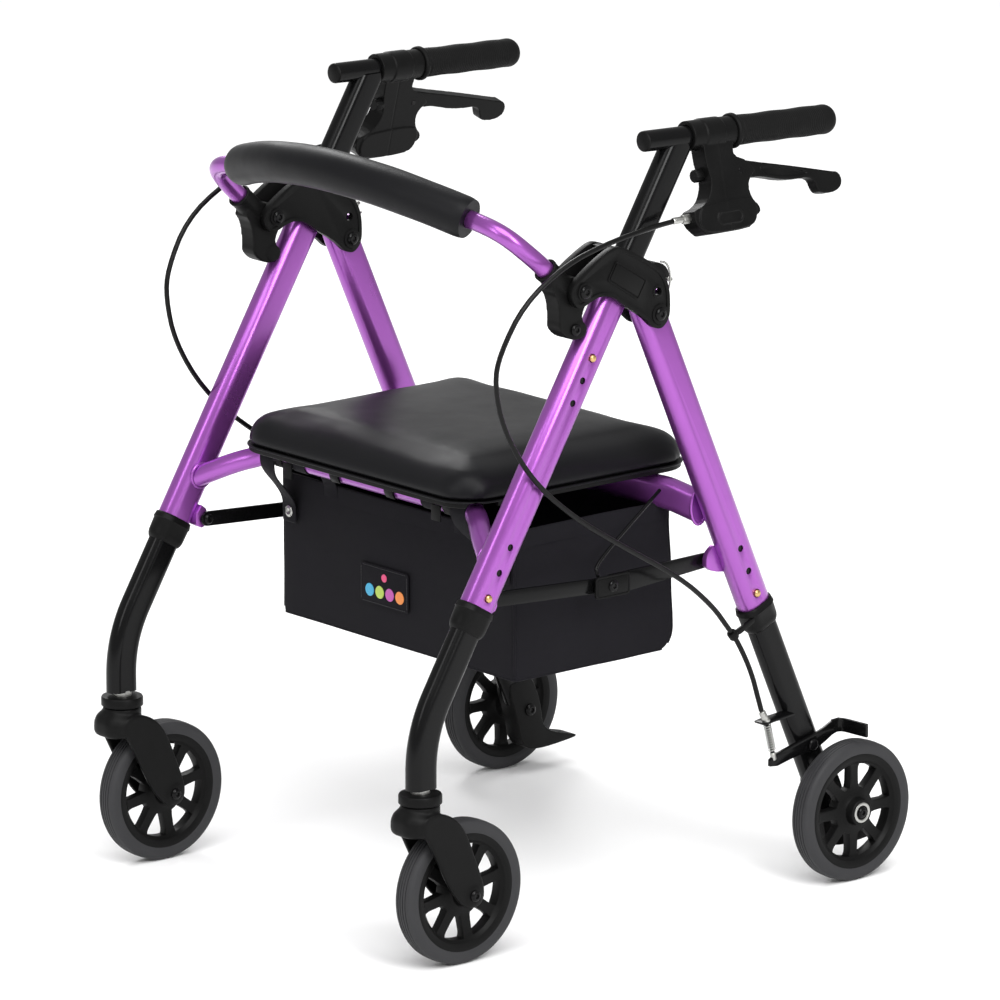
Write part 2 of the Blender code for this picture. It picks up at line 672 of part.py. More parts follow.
def build_handle(side, post_mat, grip_mat, housing_mat, lever_mat):
    post = sweep(
        [front(-0.040), front(0.300)], rounded_rect(*INNER_SECTION), bore=rounded_rect(*INNER_BORE)
    )
    direction = T_BAR_REAR - T_BAR_FRONT
    start = t_bar(-0.008)
    length = (t_bar(0.2365) - start).length
    bar = lathe(
        ((0, 0.0100), (0.0012, T_BAR_RADIUS), (length, T_BAR_RADIUS)), start, direction, 16
    )
    piece(
        side_name("handle_post", side), side, post_mat, FRONT_TOP, post,
        ("DIFFERENCE", box(0.235, 0.265, -0.03, 0.09, 0.8215, 0.86)),
        ("DIFFERENCE", rod(t_bar(0.0486), t_bar(0.0800), 0.0163, 16)),
        ("DIFFERENCE", hole(front(HANDLE_BUTTON), BUTTON_HOLE_RADIUS, 0.2570, 0.2630)),
        ("UNION", bar),
    )
    start = t_bar(0.1080)
    tip = (T_BAR_REAR - start).length
    hollow = (t_bar(0.2372) - start).length
    profile = [(hollow, 0.0004), (hollow, 0.0115), (0, 0.0115), (0, 0.0175), (0.001, 0.0185)]
    profile += [(0.005, 0.0185), (0.006, 0.0175), (0.007, 0.0150), (0.012, GRIP_RADIUS)]
    profile += [(tip - 0.012, GRIP_RADIUS), (tip - 0.004, 0.0140), (tip - 0.001, 0.0100)]
    profile += [(tip, 0.0050)]
    piece(
        side_name("grip", side), side, grip_mat, FRONT_TOP, lathe(profile, start, direction, 16)
    )

    outline = [(y, z) for y, z in HOUSING_OUTLINE]
    body = moved(prism(outline, -HOUSING_HALF, HOUSING_HALF), BRAKE_FRAME)
    clamp = rod(t_bar(0.049), t_bar(0.1072), 0.0158, 16)
    bore = rod(t_bar(0.020), t_bar(0.130), 0.0115, 16)
    slot = moved(box(-0.0083, 0.0083, 0.088, 0.145, -0.064, -0.022), BRAKE_FRAME)
    y, z = LEVER_PIVOT
    pin = moved(x_rod(y, z, -0.0098, 0.0098, 0.002, 12), BRAKE_FRAME)
    barrel = lathe(
        (
            (0, 0.0031), (0.001, 0.0036), (0.0140, 0.0036), (0.0140, 0.0050), (0.0280, 0.0050),
        ),
        (0, 0.0112, -0.0848), (0, 1, 0), 12,
    )
    knob = lathe(
        ((0, 0.006), (0.0015, 0.007), (0.0120, 0.007)), (-0.0045, 0.0530, -0.0433), (0, 1, 0), 12
    )
    piece(
        side_name("brake_housing", side), side, housing_mat, FRONT_TOP, body,
        ("UNION", clamp), ("DIFFERENCE", bore), ("DIFFERENCE", slot), ("UNION", pin),
        ("UNION", moved(barrel, BRAKE_FRAME)), ("UNION", moved(knob, BRAKE_FRAME)),
    )
    lever = moved(prism(LEVER_OUTLINE, -LEVER_HALF, LEVER_HALF), BRAKE_FRAME)
    pivot = BRAKE_FRAME @ Vector((0, y, z))
    eye = moved(x_rod(y, z, -0.012, 0.012, 0.0024, 12), BRAKE_FRAME)
    piece(
        side_name("brake_lever", side), side, lever_mat, pivot, lever, ("DIFFERENCE", eye)
    )


def bend(start, corner, end, radius_share, steps=4):
    """A route from start to end that rounds the corner, by a quadratic arc."""
    start = Vector(start)
    corner = Vector(corner)
    end = Vector(end)
    one = corner + (start - corner).normalized() * radius_share
    two = corner + (end - corner).normalized() * radius_share
    route = [start]
    for i in range(steps + 1):
        share = i / steps
        route.append(one.lerp(corner, share).lerp(corner.lerp(two, share), share))
    route.append(end)
    return route


def build_front_lower(side, mat):
    x, y = CASTER_STEM
    drop = (FRONT_TOP.y - y) / -FRONT_DOWN.y
    corner = front(drop)
    route = bend(front(0.415), corner, (LEG_X, y, 0.1925), 0.036)
    tube = sweep(route, rounded_rect(*INNER_SECTION), bore=rounded_rect(*INNER_BORE))
    stem = lathe(
        (
            (0, 0.0050), (0.001, 0.006), (0.0400, 0.006), (0.0400, 0.0098), (0.0440, 0.0098),
        ),
        (x, y, 0.1505), (0, 0, 1), 12,
    )
    plug = sweep(
        [(LEG_X, y, 0.1932), (LEG_X, y, 0.1990)], rounded_rect(0.0208, 0.0328, 0.0054)
    )
    piece(
        side_name("front_lower_leg", side), side, mat, front(0.415), tube,
        ("DIFFERENCE", hole(front(FRONT_BUTTON), BUTTON_HOLE_RADIUS, 0.2570, 0.2630)),
        ("UNION", plug), ("UNION", stem),
    )


def wheel(name, side, centre, bore, phase, hub_mat, tyre_mat):
    profile = (
        (-0.018, bore), (-0.018, 0.0140), (-0.006, 0.0175), (-0.006, 0.0525),
        (-0.0106, 0.0560), (-0.0106, RIM_RADIUS), (0.0106, RIM_RADIUS), (0.0106, 0.0560),
        (0.006, 0.0525), (0.006, 0.0175), (0.018, 0.0140), (0.018, bore),
    )
    body = lathe(profile, centre, (1, 0, 0), 16, loop=True)
    windows = []
    low, high = WINDOW
    for number in range(SPOKES):
        middle = 2 * math.pi * (number + 0.5) / SPOKES + phase
        points = []
        for radius, share in ((low, -1), (low, 1), (high, 0.93), (high, -0.93)):
            turn = math.pi / SPOKES - SPOKE_WIDTH / 2 / radius
            angle = middle + share * turn
            y = centre.y + radius * math.cos(angle)
            z = centre.z + radius * math.sin(angle)
            points.append((y, z))
        windows.append(prism(points, centre.x - 0.02, centre.x + 0.02))
    piece(
        side_name(f"{name}_hub", side), side, hub_mat, centre, body,
        ("DIFFERENCE", join(*windows)),
    )
    tyre = lathe(TYRE_PROFILE, centre, (1, 0, 0), 24, loop=True)
    piece(side_name(f"{name}_tyre", side), side, tyre_mat, centre, tyre)


def build_caster(side, mat, hub_mat, tyre_mat):
    x, y = CASTER_STEM
    neck = lathe(
        (
            (0, 0.0195), (0.0120, 0.0205), (0.0275, 0.0208), (0.0280, 0.0225), (0.0375, 0.0225),
            (0.0392, 0.0205),
        ),
        (x, y, 0.1508), (0, 0, 1), 16,
    )
    crown = new_solid()
    rings = []
    half = FORK_GAP + FORK_THICK
    for z, gap in ((0.1528, 0.0014), (0.1555, 0.0), (0.1705, 0.0), (0.1735, 0.0030)):
        width = 2 * (half - gap)
        depth = 0.0415 - gap
        middle = CROWN_FRONT + gap + depth / 2
        ring = rounded_rect(width, depth, 0.017 - gap, 2)
        rings.append([Vector((x + a, middle + b, z)) for a, b in ring])
    crown = skin(crown, rings)
    arms = []
    for x0, x1 in ((FORK_GAP, half), (-half, -FORK_GAP)):
        arms.append(prism(FORK_OUTLINE, x + x0, x + x1))
    y_axle = CASTER_WHEEL.y
    z_axle = CASTER_WHEEL.z
    head = 0.0050
    axle = lathe(
        (
            (-half - head, 0.0066), (-half + 0.0005, 0.0070),
            (-half + 0.0005, 0.004), (half - 0.0005, 0.004), (half - 0.0005, 0.0070),
            (half + head, 0.0066),
        ),
        (x, y_axle, z_axle), (1, 0, 0), 12,
    )
    piece(
        side_name("caster_fork", side), side, mat, (x, y, 0.17), crown,
        ("UNION", neck), ("UNION", join(*arms)), ("UNION", axle),
        ("DIFFERENCE", rod((x, y, 0.1490), (x, y, 0.1960), 0.0064)),
    )
    wheel("caster", side, CASTER_WHEEL, 0.0045, math.radians(10), hub_mat, tyre_mat)


def build_rear_lower(side, mat, arm_mat):
    tube = sweep(
        [rear(0.290), rear(0.608)], rounded_rect(*INNER_SECTION), bore=rounded_rect(*INNER_BORE)
    )
    boot = prism(
        (
            (0.2270, 0.1060), (0.2390, 0.0700), (0.2450, 0.0560), (0.2600, 0.0440), (0.2900, 0.0350),
            (0.3180, 0.0300), (0.3250, 0.0350), (0.3250, 0.0480), (0.3200, 0.0530), (0.2950, 0.0560),
            (0.2800, 0.0640), (0.2745, 0.0800), (0.2640, 0.1060), (0.2570, 0.1150), (0.2350, 0.1110),
        ),
        0.2378, 0.2622,
    )
    axle = lathe(
        (
            (-0.0270, 0.0065), (-0.0230, 0.0070), (-0.0230, 0.0050),
            (0.0020, 0.0050), (0.0020, 0.0080), (0.0092, 0.0080), (0.0092, 0.0050),
            (0.0462, 0.0050), (0.0462, 0.0075), (0.0486, 0.0070),
        ),
        (0.260, REAR_WHEEL.y, REAR_WHEEL.z), (1, 0, 0), 12,
    )
    bracket = prism(
        ((0.1475, 0.1842), (0.1600, 0.1860), (0.1900, 0.1880), (0.1890, 0.1910), (0.1595, 0.1888),
         (0.1465, 0.1868)),
        0.2560, 0.2725,
    )
    ferrule = lathe(
        ((0, 0.0031), (0.0008, 0.0038), (0.0135, 0.0038)),
        (0.2668, 0.1470, 0.1992), (0.001, 0.0063, -0.0124), 14,
    )
    y, z = ARM_PIVOT
    pin = lathe(
        ((0, 0.0035), (0.0072, 0.0035), (0.0072, 0.0062), (0.0094, 0.0062), (0.0100, 0.0055)),
        (0.260, y, z), (1, 0, 0), 12,
    )
    piece(
        side_name("rear_lower_leg", side), side, mat, rear(0.290), tube,
        ("DIFFERENCE", hole(rear(REAR_BUTTON), BUTTON_HOLE_RADIUS, 0.2570, 0.2630)),
        ("UNION", boot), ("UNION", axle), ("UNION", bracket), ("UNION", ferrule), ("UNION", pin),
    )
    x0, x1 = ARM_X
    cross = box(x0 + 0.0005, 0.3030, 0.2605, 0.2645, 0.1570, 0.1720)
    nipple = rod((0.2648, 0.1655, 0.139), (0.2655, 0.1640, 0.1565), 0.0030, 12)
    arm = piece(
        side_name("brake_arm", side), side, arm_mat, (x0, y, z), prism(ARM_OUTLINE, x0, x1),
        ("DIFFERENCE", x_rod(y, z, 0.26, 0.27, 0.0039)), ("UNION", cross), ("UNION", nipple),
    )
    return arm


def build_buttons(side, mat):
    spots = (
        ("handle", front(HANDLE_BUTTON)), ("front", front(FRONT_BUTTON)),
        ("rear", rear(REAR_BUTTON)),
    )
    for name, point in spots:
        profile = ((0, 0.0038), (0.0003, BUTTON_RADIUS), (0.0026, BUTTON_RADIUS))
        profile += ((0.0038, 0.0033), (0.0044, 0.0018))
        start = (0.2614, point.y, point.z)
        piece(
            side_name(f"snap_button_{name}", side), side, mat, start,
            lathe(profile, start, (1, 0, 0), 14),
        )


def build_cable(side, mat):
    points = smooth(CABLE_ROUTE, 1)
    curve = bpy.data.curves.new(side_name("brake_cable", side), "CURVE")
    curve.dimensions = "3D"
    spline = curve.splines.new("POLY")
    spline.points.add(len(points) - 1)
    for slot, point in zip(spline.points, points):
        slot.co = (side * point.x, point.y, point.z, 1.0)
    curve.bevel_depth = CABLE_RADIUS
    curve.bevel_resolution = 1
    curve.use_fill_caps = True
    curve.render_resolution_u = 0
    curve.materials.append(mat)
    obj = bpy.data.objects.new(side_name("brake_cable", side), curve)
    bpy.context.collection.objects.link(obj)


def main():
    clear_scene()
    purple = material("purple_paint", (0.30, 0.09, 0.36), 0.6, 0.35)
    black_tube = material("black_anodised", (0.02, 0.02, 0.022), 0.3, 0.35)
    plastic = material("black_plastic", (0.02, 0.02, 0.02), 0.0, 0.5)
    vinyl = material("black_vinyl", (0.03, 0.03, 0.03), 0.0, 0.55)
    foam = material("black_foam", (0.025, 0.025, 0.025), 0.0, 0.8)
    fabric = material("black_fabric", (0.02, 0.02, 0.022), 0.0, 0.9)
    rubber = material("black_rubber", (0.02, 0.02, 0.02), 0.0, 0.7)
    tyre = material("grey_tyre", (0.28, 0.28, 0.28), 0.0, 0.7)
    steel = material("zinc_steel", (0.6, 0.6, 0.6), 1.0, 0.35)
    brass = material("brass", (0.55, 0.40, 0.18), 1.0, 0.35)
    sheath = material("cable_sheath", (0.02, 0.02, 0.02), 0.0, 0.4)
    build_rails(purple)
    build_seat(plastic, vinyl)
    build_bag(fabric)
    build_backrest(purple, foam, plastic)
    for side in (1, -1):
        build_front_leg(side, purple)
        build_rear_leg(side, purple)
        build_collars(side, plastic)
        build_hub(side, plastic, steel)
        build_struts(side, black_tube)
        build_handle(side, black_tube, rubber, plastic, plastic)
        build_front_lower(side, black_tube)
        build_caster(side, plastic, plastic, tyre)
        build_rear_lower(side, black_tube, black_tube)
        wheel("rear", side, REAR_WHEEL, 0.0054, 0.0, plastic, tyre)
        build_buttons(side, brass)
        build_cable(side, sheath)


main()
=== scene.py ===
"""The looks of the rollator walker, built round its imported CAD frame.

Metres, +Z up, the front faces -Y, the user's left side is +X. Paired pieces are drawn for
the left side and mirrored. Every mesh is in the row frame, with its object at the origin.
"""

import math

import bmesh
import bpy
from mathutils import Matrix, Vector, noise


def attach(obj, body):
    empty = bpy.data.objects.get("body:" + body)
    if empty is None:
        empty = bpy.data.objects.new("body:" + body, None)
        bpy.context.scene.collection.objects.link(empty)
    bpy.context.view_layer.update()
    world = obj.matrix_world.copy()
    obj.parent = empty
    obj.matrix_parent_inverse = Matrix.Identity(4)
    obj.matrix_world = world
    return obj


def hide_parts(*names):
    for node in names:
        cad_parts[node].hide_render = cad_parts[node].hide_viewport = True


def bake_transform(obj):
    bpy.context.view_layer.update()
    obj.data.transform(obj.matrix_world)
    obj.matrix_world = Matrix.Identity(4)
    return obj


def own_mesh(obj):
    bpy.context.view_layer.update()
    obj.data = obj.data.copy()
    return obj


# Each leg is a line in the side view: front(t) and rear(t) are the points t metres down it.
# A section is its width, its depth and its corner radius.
LEG_X = 0.25
FRONT_TOP = Vector((LEG_X, 0.0297, 0.805))
FRONT_DOWN = Vector((0.0, -0.5167, -0.8562)).normalized()
FOLD_PIVOT = Vector((LEG_X, -0.0011, 0.648))
REAR_DOWN = Vector((0.0, 0.4094, -0.9124)).normalized()
OUTER_SECTION = (0.0254, 0.0381, 0.0119)
OUTER_BORE = (0.0227, 0.0347, 0.0105)
INNER_SECTION = (0.022, 0.034, 0.0100)
INNER_BORE = (0.019, 0.031, 0.0088)
FRONT_TUBE = (0.134, 0.508)
REAR_TUBE = (-0.016, 0.3683)
HANDLE_BUTTON = 0.2247
HANDLE_HOLES = (0.2501, 0.2755)
FRONT_BUTTON = 0.4937
FRONT_HOLES = (0.4367, 0.4652)
REAR_BUTTON = 0.3516
REAR_HOLES = (0.2946, 0.3231)
SPARE_HOLE_RADIUS = 0.0036
BUTTON_HOLE_RADIUS = 0.0045

# Outlines are (y, z) points in the side view.
HUB_OUTLINE = (
    (-0.121, 0.689), (-0.116, 0.696), (-0.110, 0.701), (-0.097, 0.710), (-0.083, 0.718),
    (-0.070, 0.7245), (-0.062, 0.7265), (-0.050, 0.724), (-0.025, 0.711), (-0.008, 0.700),
    (0.002, 0.692), (0.009, 0.680), (0.012, 0.668), (0.0125, 0.650), (0.010, 0.641),
    (0.004, 0.6345), (-0.002, 0.6326), (-0.010, 0.635), (-0.017, 0.641), (-0.022, 0.646),
    (-0.035, 0.655), (-0.048, 0.662), (-0.060, 0.671), (-0.068, 0.6755), (-0.080, 0.6775),
    (-0.090, 0.676), (-0.100, 0.6715), (-0.110, 0.668), (-0.116, 0.672), (-0.120, 0.680),
)
BADGE_OUTLINE = ((-0.062, 0.7126), (-0.020, 0.687), (-0.0307, 0.6664), (-0.0729, 0.6929))
HUB_FACE_X = 0.2705
HUB_FRONT_SCREW = (-0.1027, 0.6849)
HUB_SPARE_HOLE = (-0.004, 0.672)
RAIL_CENTRE = (-0.165, 0.4488)
STRUT_FRONT = (-0.202, 0.370)
STRUT_KNEE = (-0.036, 0.360)
STRUT_REAR = (0.095, 0.3655)
PAD_HALF = 0.185
SEAT_HALF_WIDTH = 0.193
SEAT_DEPTH = 0.321
SEAT_MIDDLE_Y = -0.0375
BAG_WIDTH = 0.3835
BAG_DEPTH = 0.2195
BAG_FLOOR = 0.262
BAG_FRONT_TOP = 0.4180
PATCH = (-0.0163, 0.3245)
T_BAR_FRONT = Vector((0.2507, -0.008, 0.826))
T_BAR_REAR = Vector((0.254, 0.249, 0.819))
# The brake housing and the lever are drawn upright, then leaned out by this tilt.
BRAKE_TILT = math.radians(15.0)
BRAKE_FRAME = Matrix.Translation((0.2525, 0.0, 0.826)) @ Matrix.Rotation(-BRAKE_TILT, 4, "Y")
HOUSING_OUTLINE = (
    (0.0607, 0.0), (0.0605, -0.0151), (0.0603, -0.0296), (0.0618, -0.0412), (0.0636, -0.0509),
    (0.0605, -0.0606), (0.0544, -0.0703), (0.0441, -0.0761), (0.0347, -0.0780),
    (0.0326, -0.0828), (0.0335, -0.0925), (0.0450, -0.1041), (0.0488, -0.1051),
    (0.1028, -0.1051), (0.1096, -0.1012), (0.1133, -0.0935), (0.1195, -0.0925),
    (0.1234, -0.0886), (0.1217, -0.0828), (0.1175, -0.0790), (0.1138, -0.0732),
    (0.1119, -0.0635), (0.1146, -0.0557), (0.1209, -0.0499), (0.1251, -0.0470),
    (0.1150, -0.0350), (0.0991, -0.0290), (0.0999, -0.0180), (0.1030, -0.0083), (0.1030, 0.0),
)
LEVER_OUTLINE = (
    (0.0991, -0.0306), (0.1246, -0.0374), (0.1657, -0.0461), (0.2038, -0.0548),
    (0.2323, -0.0616), (0.2391, -0.0625), (0.2438, -0.0683), (0.2431, -0.0761),
    (0.2381, -0.0809), (0.2274, -0.0838), (0.2118, -0.0819), (0.2081, -0.0761),
    (0.2060, -0.0674), (0.1989, -0.0635), (0.1819, -0.0635), (0.1623, -0.0616),
    (0.1434, -0.0567), (0.1326, -0.0545), (0.1180, -0.0538), (0.1040, -0.0535),
    (0.0970, -0.0500), (0.0948, -0.0420), (0.0958, -0.0345),
)
WHEEL_RADIUS = 0.0762
REAR_WHEEL = Vector((0.2876, 0.2573, WHEEL_RADIUS))
CASTER_STEM = (0.2488, -0.3045)
CASTER_WHEEL = Vector((0.2488, -0.254, WHEEL_RADIUS))
CROWN_FRONT = -0.3335
FORK_GAP = 0.0190  # from the wheel's middle plane to the inner face of an arm
FORK_THICK = 0.0062
FORK_OUTLINE = (
    (-0.3210, 0.1620), (-0.3195, 0.1530), (-0.3130, 0.1430), (-0.3030, 0.1230), (-0.290, 0.097),
    (-0.279, 0.079), (-0.268, 0.067), (-0.256, 0.062), (-0.244, 0.064), (-0.239, 0.074),
    (-0.240, 0.085), (-0.245, 0.100), (-0.253, 0.120), (-0.262, 0.142), (-0.272, 0.1575),
    (-0.286, 0.1675), (-0.300, 0.1715), (-0.312, 0.1705), (-0.3185, 0.1670),
)
ARM_PIVOT = (0.220, 0.150)
CABLE_ROUTE = (
    (0.2744, 0.0105, 0.7436), (0.2756, -0.0090, 0.7425), (0.2772, -0.0340, 0.7400),
    (0.2785, -0.0830, 0.7333), (0.2785, -0.1366, 0.7190), (0.2765, -0.1897, 0.6860),
    (0.2725, -0.2190, 0.6367), (0.2700, -0.2234, 0.6063), (0.2700, -0.2122, 0.5584),
    (0.2700, -0.1763, 0.5020), (0.2700, -0.1226, 0.4551), (0.2700, -0.0546, 0.4125),
    (0.2690, 0.0282, 0.3649), (0.2650, 0.0780, 0.3250), (0.2625, 0.1025, 0.2965),
    (0.2622, 0.1170, 0.2786), (0.2645, 0.1340, 0.2440), (0.2665, 0.1425, 0.2130),
    (0.2667, 0.1468, 0.1998),
)

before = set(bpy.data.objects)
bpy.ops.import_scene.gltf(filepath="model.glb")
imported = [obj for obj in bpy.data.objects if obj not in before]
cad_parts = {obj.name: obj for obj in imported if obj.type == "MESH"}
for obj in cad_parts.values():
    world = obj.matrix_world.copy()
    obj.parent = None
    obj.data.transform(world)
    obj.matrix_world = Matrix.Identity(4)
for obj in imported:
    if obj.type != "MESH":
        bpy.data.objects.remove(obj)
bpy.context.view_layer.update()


# ---------------------------------------------------------------- materials


def node(tree, kind, **inputs):
    made = tree.nodes.new(kind)
    for key, value in inputs.items():
        made.inputs[key.replace("_", " ")].default_value = value
    return made


def principled(name, colour, metallic, roughness, coat=0.0, sheen=0.0, specular=0.5):
    made = bpy.data.materials.new(name)
    made.use_nodes = True
    shader = made.node_tree.nodes["Principled BSDF"]
    shader.inputs["Base Color"].default_value = (*colour, 1.0)
    shader.inputs["Metallic"].default_value = metallic
    shader.inputs["Roughness"].default_value = roughness
    shader.inputs["Coat Weight"].default_value = coat
    shader.inputs["Coat Roughness"].default_value = 0.12
    shader.inputs["Sheen Weight"].default_value = sheen
    shader.inputs["Specular IOR Level"].default_value = specular
    return made


def vary(mat, low, high, scale, colour_a=None, colour_b=None):
    """Roughness, and colour if two are given, wander over the surface with a noise."""
    tree = mat.node_tree
    shader = tree.nodes["Principled BSDF"]
    where = tree.nodes.new("ShaderNodeTexCoord")
    cloud = node(tree, "ShaderNodeTexNoise", Scale=scale, Detail=5.0, Roughness=0.6)
    tree.links.new(where.outputs["Object"], cloud.inputs["Vector"])
    spread = node(tree, "ShaderNodeMapRange", From_Min=0.3, From_Max=0.7, To_Min=low, To_Max=high)
    tree.links.new(cloud.outputs["Fac"], spread.inputs["Value"])
    tree.links.new(spread.outputs["Result"], shader.inputs["Roughness"])
    if colour_a:
        ramp = tree.nodes.new("ShaderNodeValToRGB")
        ramp.color_ramp.elements[0].position = 0.3
        ramp.color_ramp.elements[0].color = (*colour_a, 1.0)
        ramp.color_ramp.elements[1].position = 0.7
        ramp.color_ramp.elements[1].color = (*colour_b, 1.0)
        tree.links.new(cloud.outputs["Fac"], ramp.inputs["Fac"])
        tree.links.new(ramp.outputs["Color"], shader.inputs["Base Color"])


def grain(mat, scale, strength, kind="noise", distance=0.0004):
    """A fine bump: noise, voronoi cells, or a plain weave."""
    tree = mat.node_tree
    shader = tree.nodes["Principled BSDF"]
    where = tree.nodes.new("ShaderNodeTexCoord")
    bump = node(tree, "ShaderNodeBump", Strength=strength, Distance=distance)
    if kind == "weave":
        height = None
        for axis in "XYZ":
            wave = node(tree, "ShaderNodeTexWave", Scale=scale, Distortion=0.6, Detail=1.0)
            wave.bands_direction = axis
            tree.links.new(where.outputs["Object"], wave.inputs["Vector"])
            if height is None:
                height = wave.outputs["Fac"]
                continue
            both = tree.nodes.new("ShaderNodeMath")
            both.operation = "ADD"
            tree.links.new(height, both.inputs[0])
            tree.links.new(wave.outputs["Fac"], both.inputs[1])
            height = both.outputs["Value"]
    elif kind == "voronoi":
        cells = node(tree, "ShaderNodeTexVoronoi", Scale=scale)
        tree.links.new(where.outputs["Object"], cells.inputs["Vector"])
        height = cells.outputs["Distance"]
    else:
        cloud = node(tree, "ShaderNodeTexNoise", Scale=scale, Detail=3.0)
        tree.links.new(where.outputs["Object"], cloud.inputs["Vector"])
        height = cloud.outputs["Fac"]
    tree.links.new(height, bump.inputs["Height"])
    tree.links.new(bump.outputs["Normal"], shader.inputs["Normal"])


# slot: (name, colour, metallic, roughness, coat, sheen, specular), vary's values, grain's values
LOOKS = {
    "purple_paint": (
        ("purple metallic", (0.34, 0.090, 0.435), 0.80, 0.30, 0.4, 0.0, 0.5),
        (0.27, 0.35, 9.0, (0.33, 0.086, 0.42), (0.36, 0.097, 0.455)),
        (1800.0, 0.05, "noise", 0.0001),
    ),
    "black_anodised": (
        ("black anodised", (0.003, 0.003, 0.0032), 0.0, 0.20, 0.0, 0.0, 0.16),
        (0.16, 0.25, 14.0), (900.0, 0.04, "noise", 0.0001),
    ),
    "black_plastic": (
        ("black moulded plastic", (0.004, 0.004, 0.004), 0.0, 0.42, 0.0, 0.0, 0.10),
        (0.36, 0.50, 30.0, (0.0035, 0.0035, 0.0035), (0.005, 0.005, 0.005)),
        (1500.0, 0.10, "noise", 0.00025),
    ),
    "black_vinyl": (
        ("black vinyl", (0.005, 0.005, 0.006), 0.0, 0.40, 0.0, 0.0, 0.14),
        (0.36, 0.45, 18.0), (950.0, 0.14, "voronoi", 0.0002),
    ),
    "black_foam": (
        ("black foam", (0.005, 0.005, 0.006), 0.0, 0.44, 0.0, 0.0, 0.15),
        (0.40, 0.52, 22.0), (1400.0, 0.12, "noise", 0.0003),
    ),
    "black_fabric": (
        ("black nylon", (0.009, 0.0085, 0.011), 0.0, 0.78, 0.0, 0.03, 0.10),
        (0.70, 0.86, 12.0, (0.0060, 0.0056, 0.0075), (0.0090, 0.0084, 0.0110)),
        (420.0, 0.22, "weave", 0.0002),
    ),
    "black_rubber": (
        ("black rubber grip", (0.005, 0.005, 0.005), 0.0, 0.62, 0.0, 0.0, 0.11),
        (0.55, 0.72, 40.0), (1200.0, 0.22, "noise", 0.0003),
    ),
    "grey_tyre": (
        ("grey tyre", (0.030, 0.030, 0.032), 0.0, 0.6, 0.0, 0.0, 0.22),
        (0.5, 0.7, 35.0, (0.027, 0.027, 0.029), (0.034, 0.034, 0.036)),
        (700.0, 0.14, "noise", 0.0003),
    ),
    "zinc_steel": (
        ("zinc plated steel", (0.44, 0.44, 0.42), 1.0, 0.30, 0.0, 0.0, 0.5),
        (0.24, 0.40, 60.0), (1200.0, 0.05, "noise", 0.0001),
    ),
    "brass": (("brass", (0.62, 0.42, 0.18), 1.0, 0.30, 0.0, 0.0, 0.5), (0.24, 0.40, 80.0), ()),
    "cable_sheath": (
        ("cable sheath", (0.003, 0.003, 0.003), 0.0, 0.32, 0.0, 0.0, 0.18),
        (0.28, 0.40, 30.0), (800.0, 0.06, "noise", 0.0002),
    ),
}


def build_materials():
    made = {}
    for slot, (look, wander, bumps) in LOOKS.items():
        made[slot] = principled(*look)
        vary(made[slot], *wander)
        if bumps:
            grain(made[slot], *bumps)
    return made


MATS = build_materials()


# ---------------------------------------------------------------- mesh kit


def circle(radius, count):
    turns = [2 * math.pi * i / count for i in range(count)]
    return [(radius * math.cos(turn), radius * math.sin(turn)) for turn in turns]


def placed(section, centre, across, up):
    """A flat section as points round a centre."""
    return [centre + across * a + up * b for a, b in section]


def rounded_rect(width, depth, radius, steps=8, extra=0):
    """Corner points anticlockwise; extra points go along each straight side."""
    points = []
    corners = ((1, 1), (-1, 1), (-1, -1), (1, -1))
    for number, (sx, sy) in enumerate(corners):
        cx = sx * (width / 2 - radius)
        cy = sy * (depth / 2 - radius)
        for i in range(steps + 1):
            turn = math.radians(90 * (number + i / steps))
            points.append((cx + radius * math.cos(turn), cy + radius * math.sin(turn)))
        if extra:
            start = Vector(points[-1])
            nx, ny = corners[(number + 1) % 4]
            turn = math.radians(90 * (number + 1))
            end = Vector((nx * (width / 2 - radius), ny * (depth / 2 - radius)))
            end += Vector((math.cos(turn), math.sin(turn))) * radius
            points += [tuple(start.lerp(end, k / (extra + 1))) for k in range(1, extra + 1)]
    return points


def skin(rings, wrap=False, capped=True):
    bm = bmesh.new()
    made = [[bm.verts.new(p) for p in ring] for ring in rings]
    pairs = list(zip(made, made[1:]))
    if wrap:
        pairs.append((made[-1], made[0]))
    for one, two in pairs:
        count = len(one)
        for j in range(count):
            k = (j + 1) % count
            bm.faces.new((one[j], one[k], two[k], two[j]))
    if capped and not wrap:
        bm.faces.new(made[0][::-1])
        bm.faces.new(made[-1])
    if (capped or wrap) and bm.calc_volume(signed=True) < 0:
        bmesh.ops.reverse_faces(bm, faces=bm.faces[:])
    return bm


def sweep(path, section, side=(1, 0, 0), bore=None, scale=None):
    """A section carried along a path without twist. A bore makes it an open tube."""
    path = [Vector(p) for p in path]
    across = Vector(side)
    outer = []
    inner = []
    for i, point in enumerate(path):
        ahead = (path[min(i + 1, len(path) - 1)] - point).normalized()
        behind = (point - path[max(i - 1, 0)]).normalized()
        along = (ahead + behind).normalized()
        across = (across - along * across.dot(along)).normalized()
        up = along.cross(across)
        size = scale[i] if scale else 1.0
        outer.append(placed(section, point, across * size, up * size))
        if bore:
            inner.append(placed(bore, point, across, up))
    if bore:
        return skin(outer + inner[::-1], wrap=True)
    return skin(outer)


def lathe(profile, start, axis, count=48, loop=False):
    start = Vector(start)
    axis = Vector(axis).normalized()
    side = Vector((0, 0, 1)) if abs(axis.z) < 0.9 else Vector((0, 1, 0))
    across = (side - axis * side.dot(axis)).normalized()
    up = axis.cross(across)
    rings = [placed(circle(radius, count), start + axis * distance, across, up)
             for distance, radius in profile]
    return skin(rings, wrap=loop)


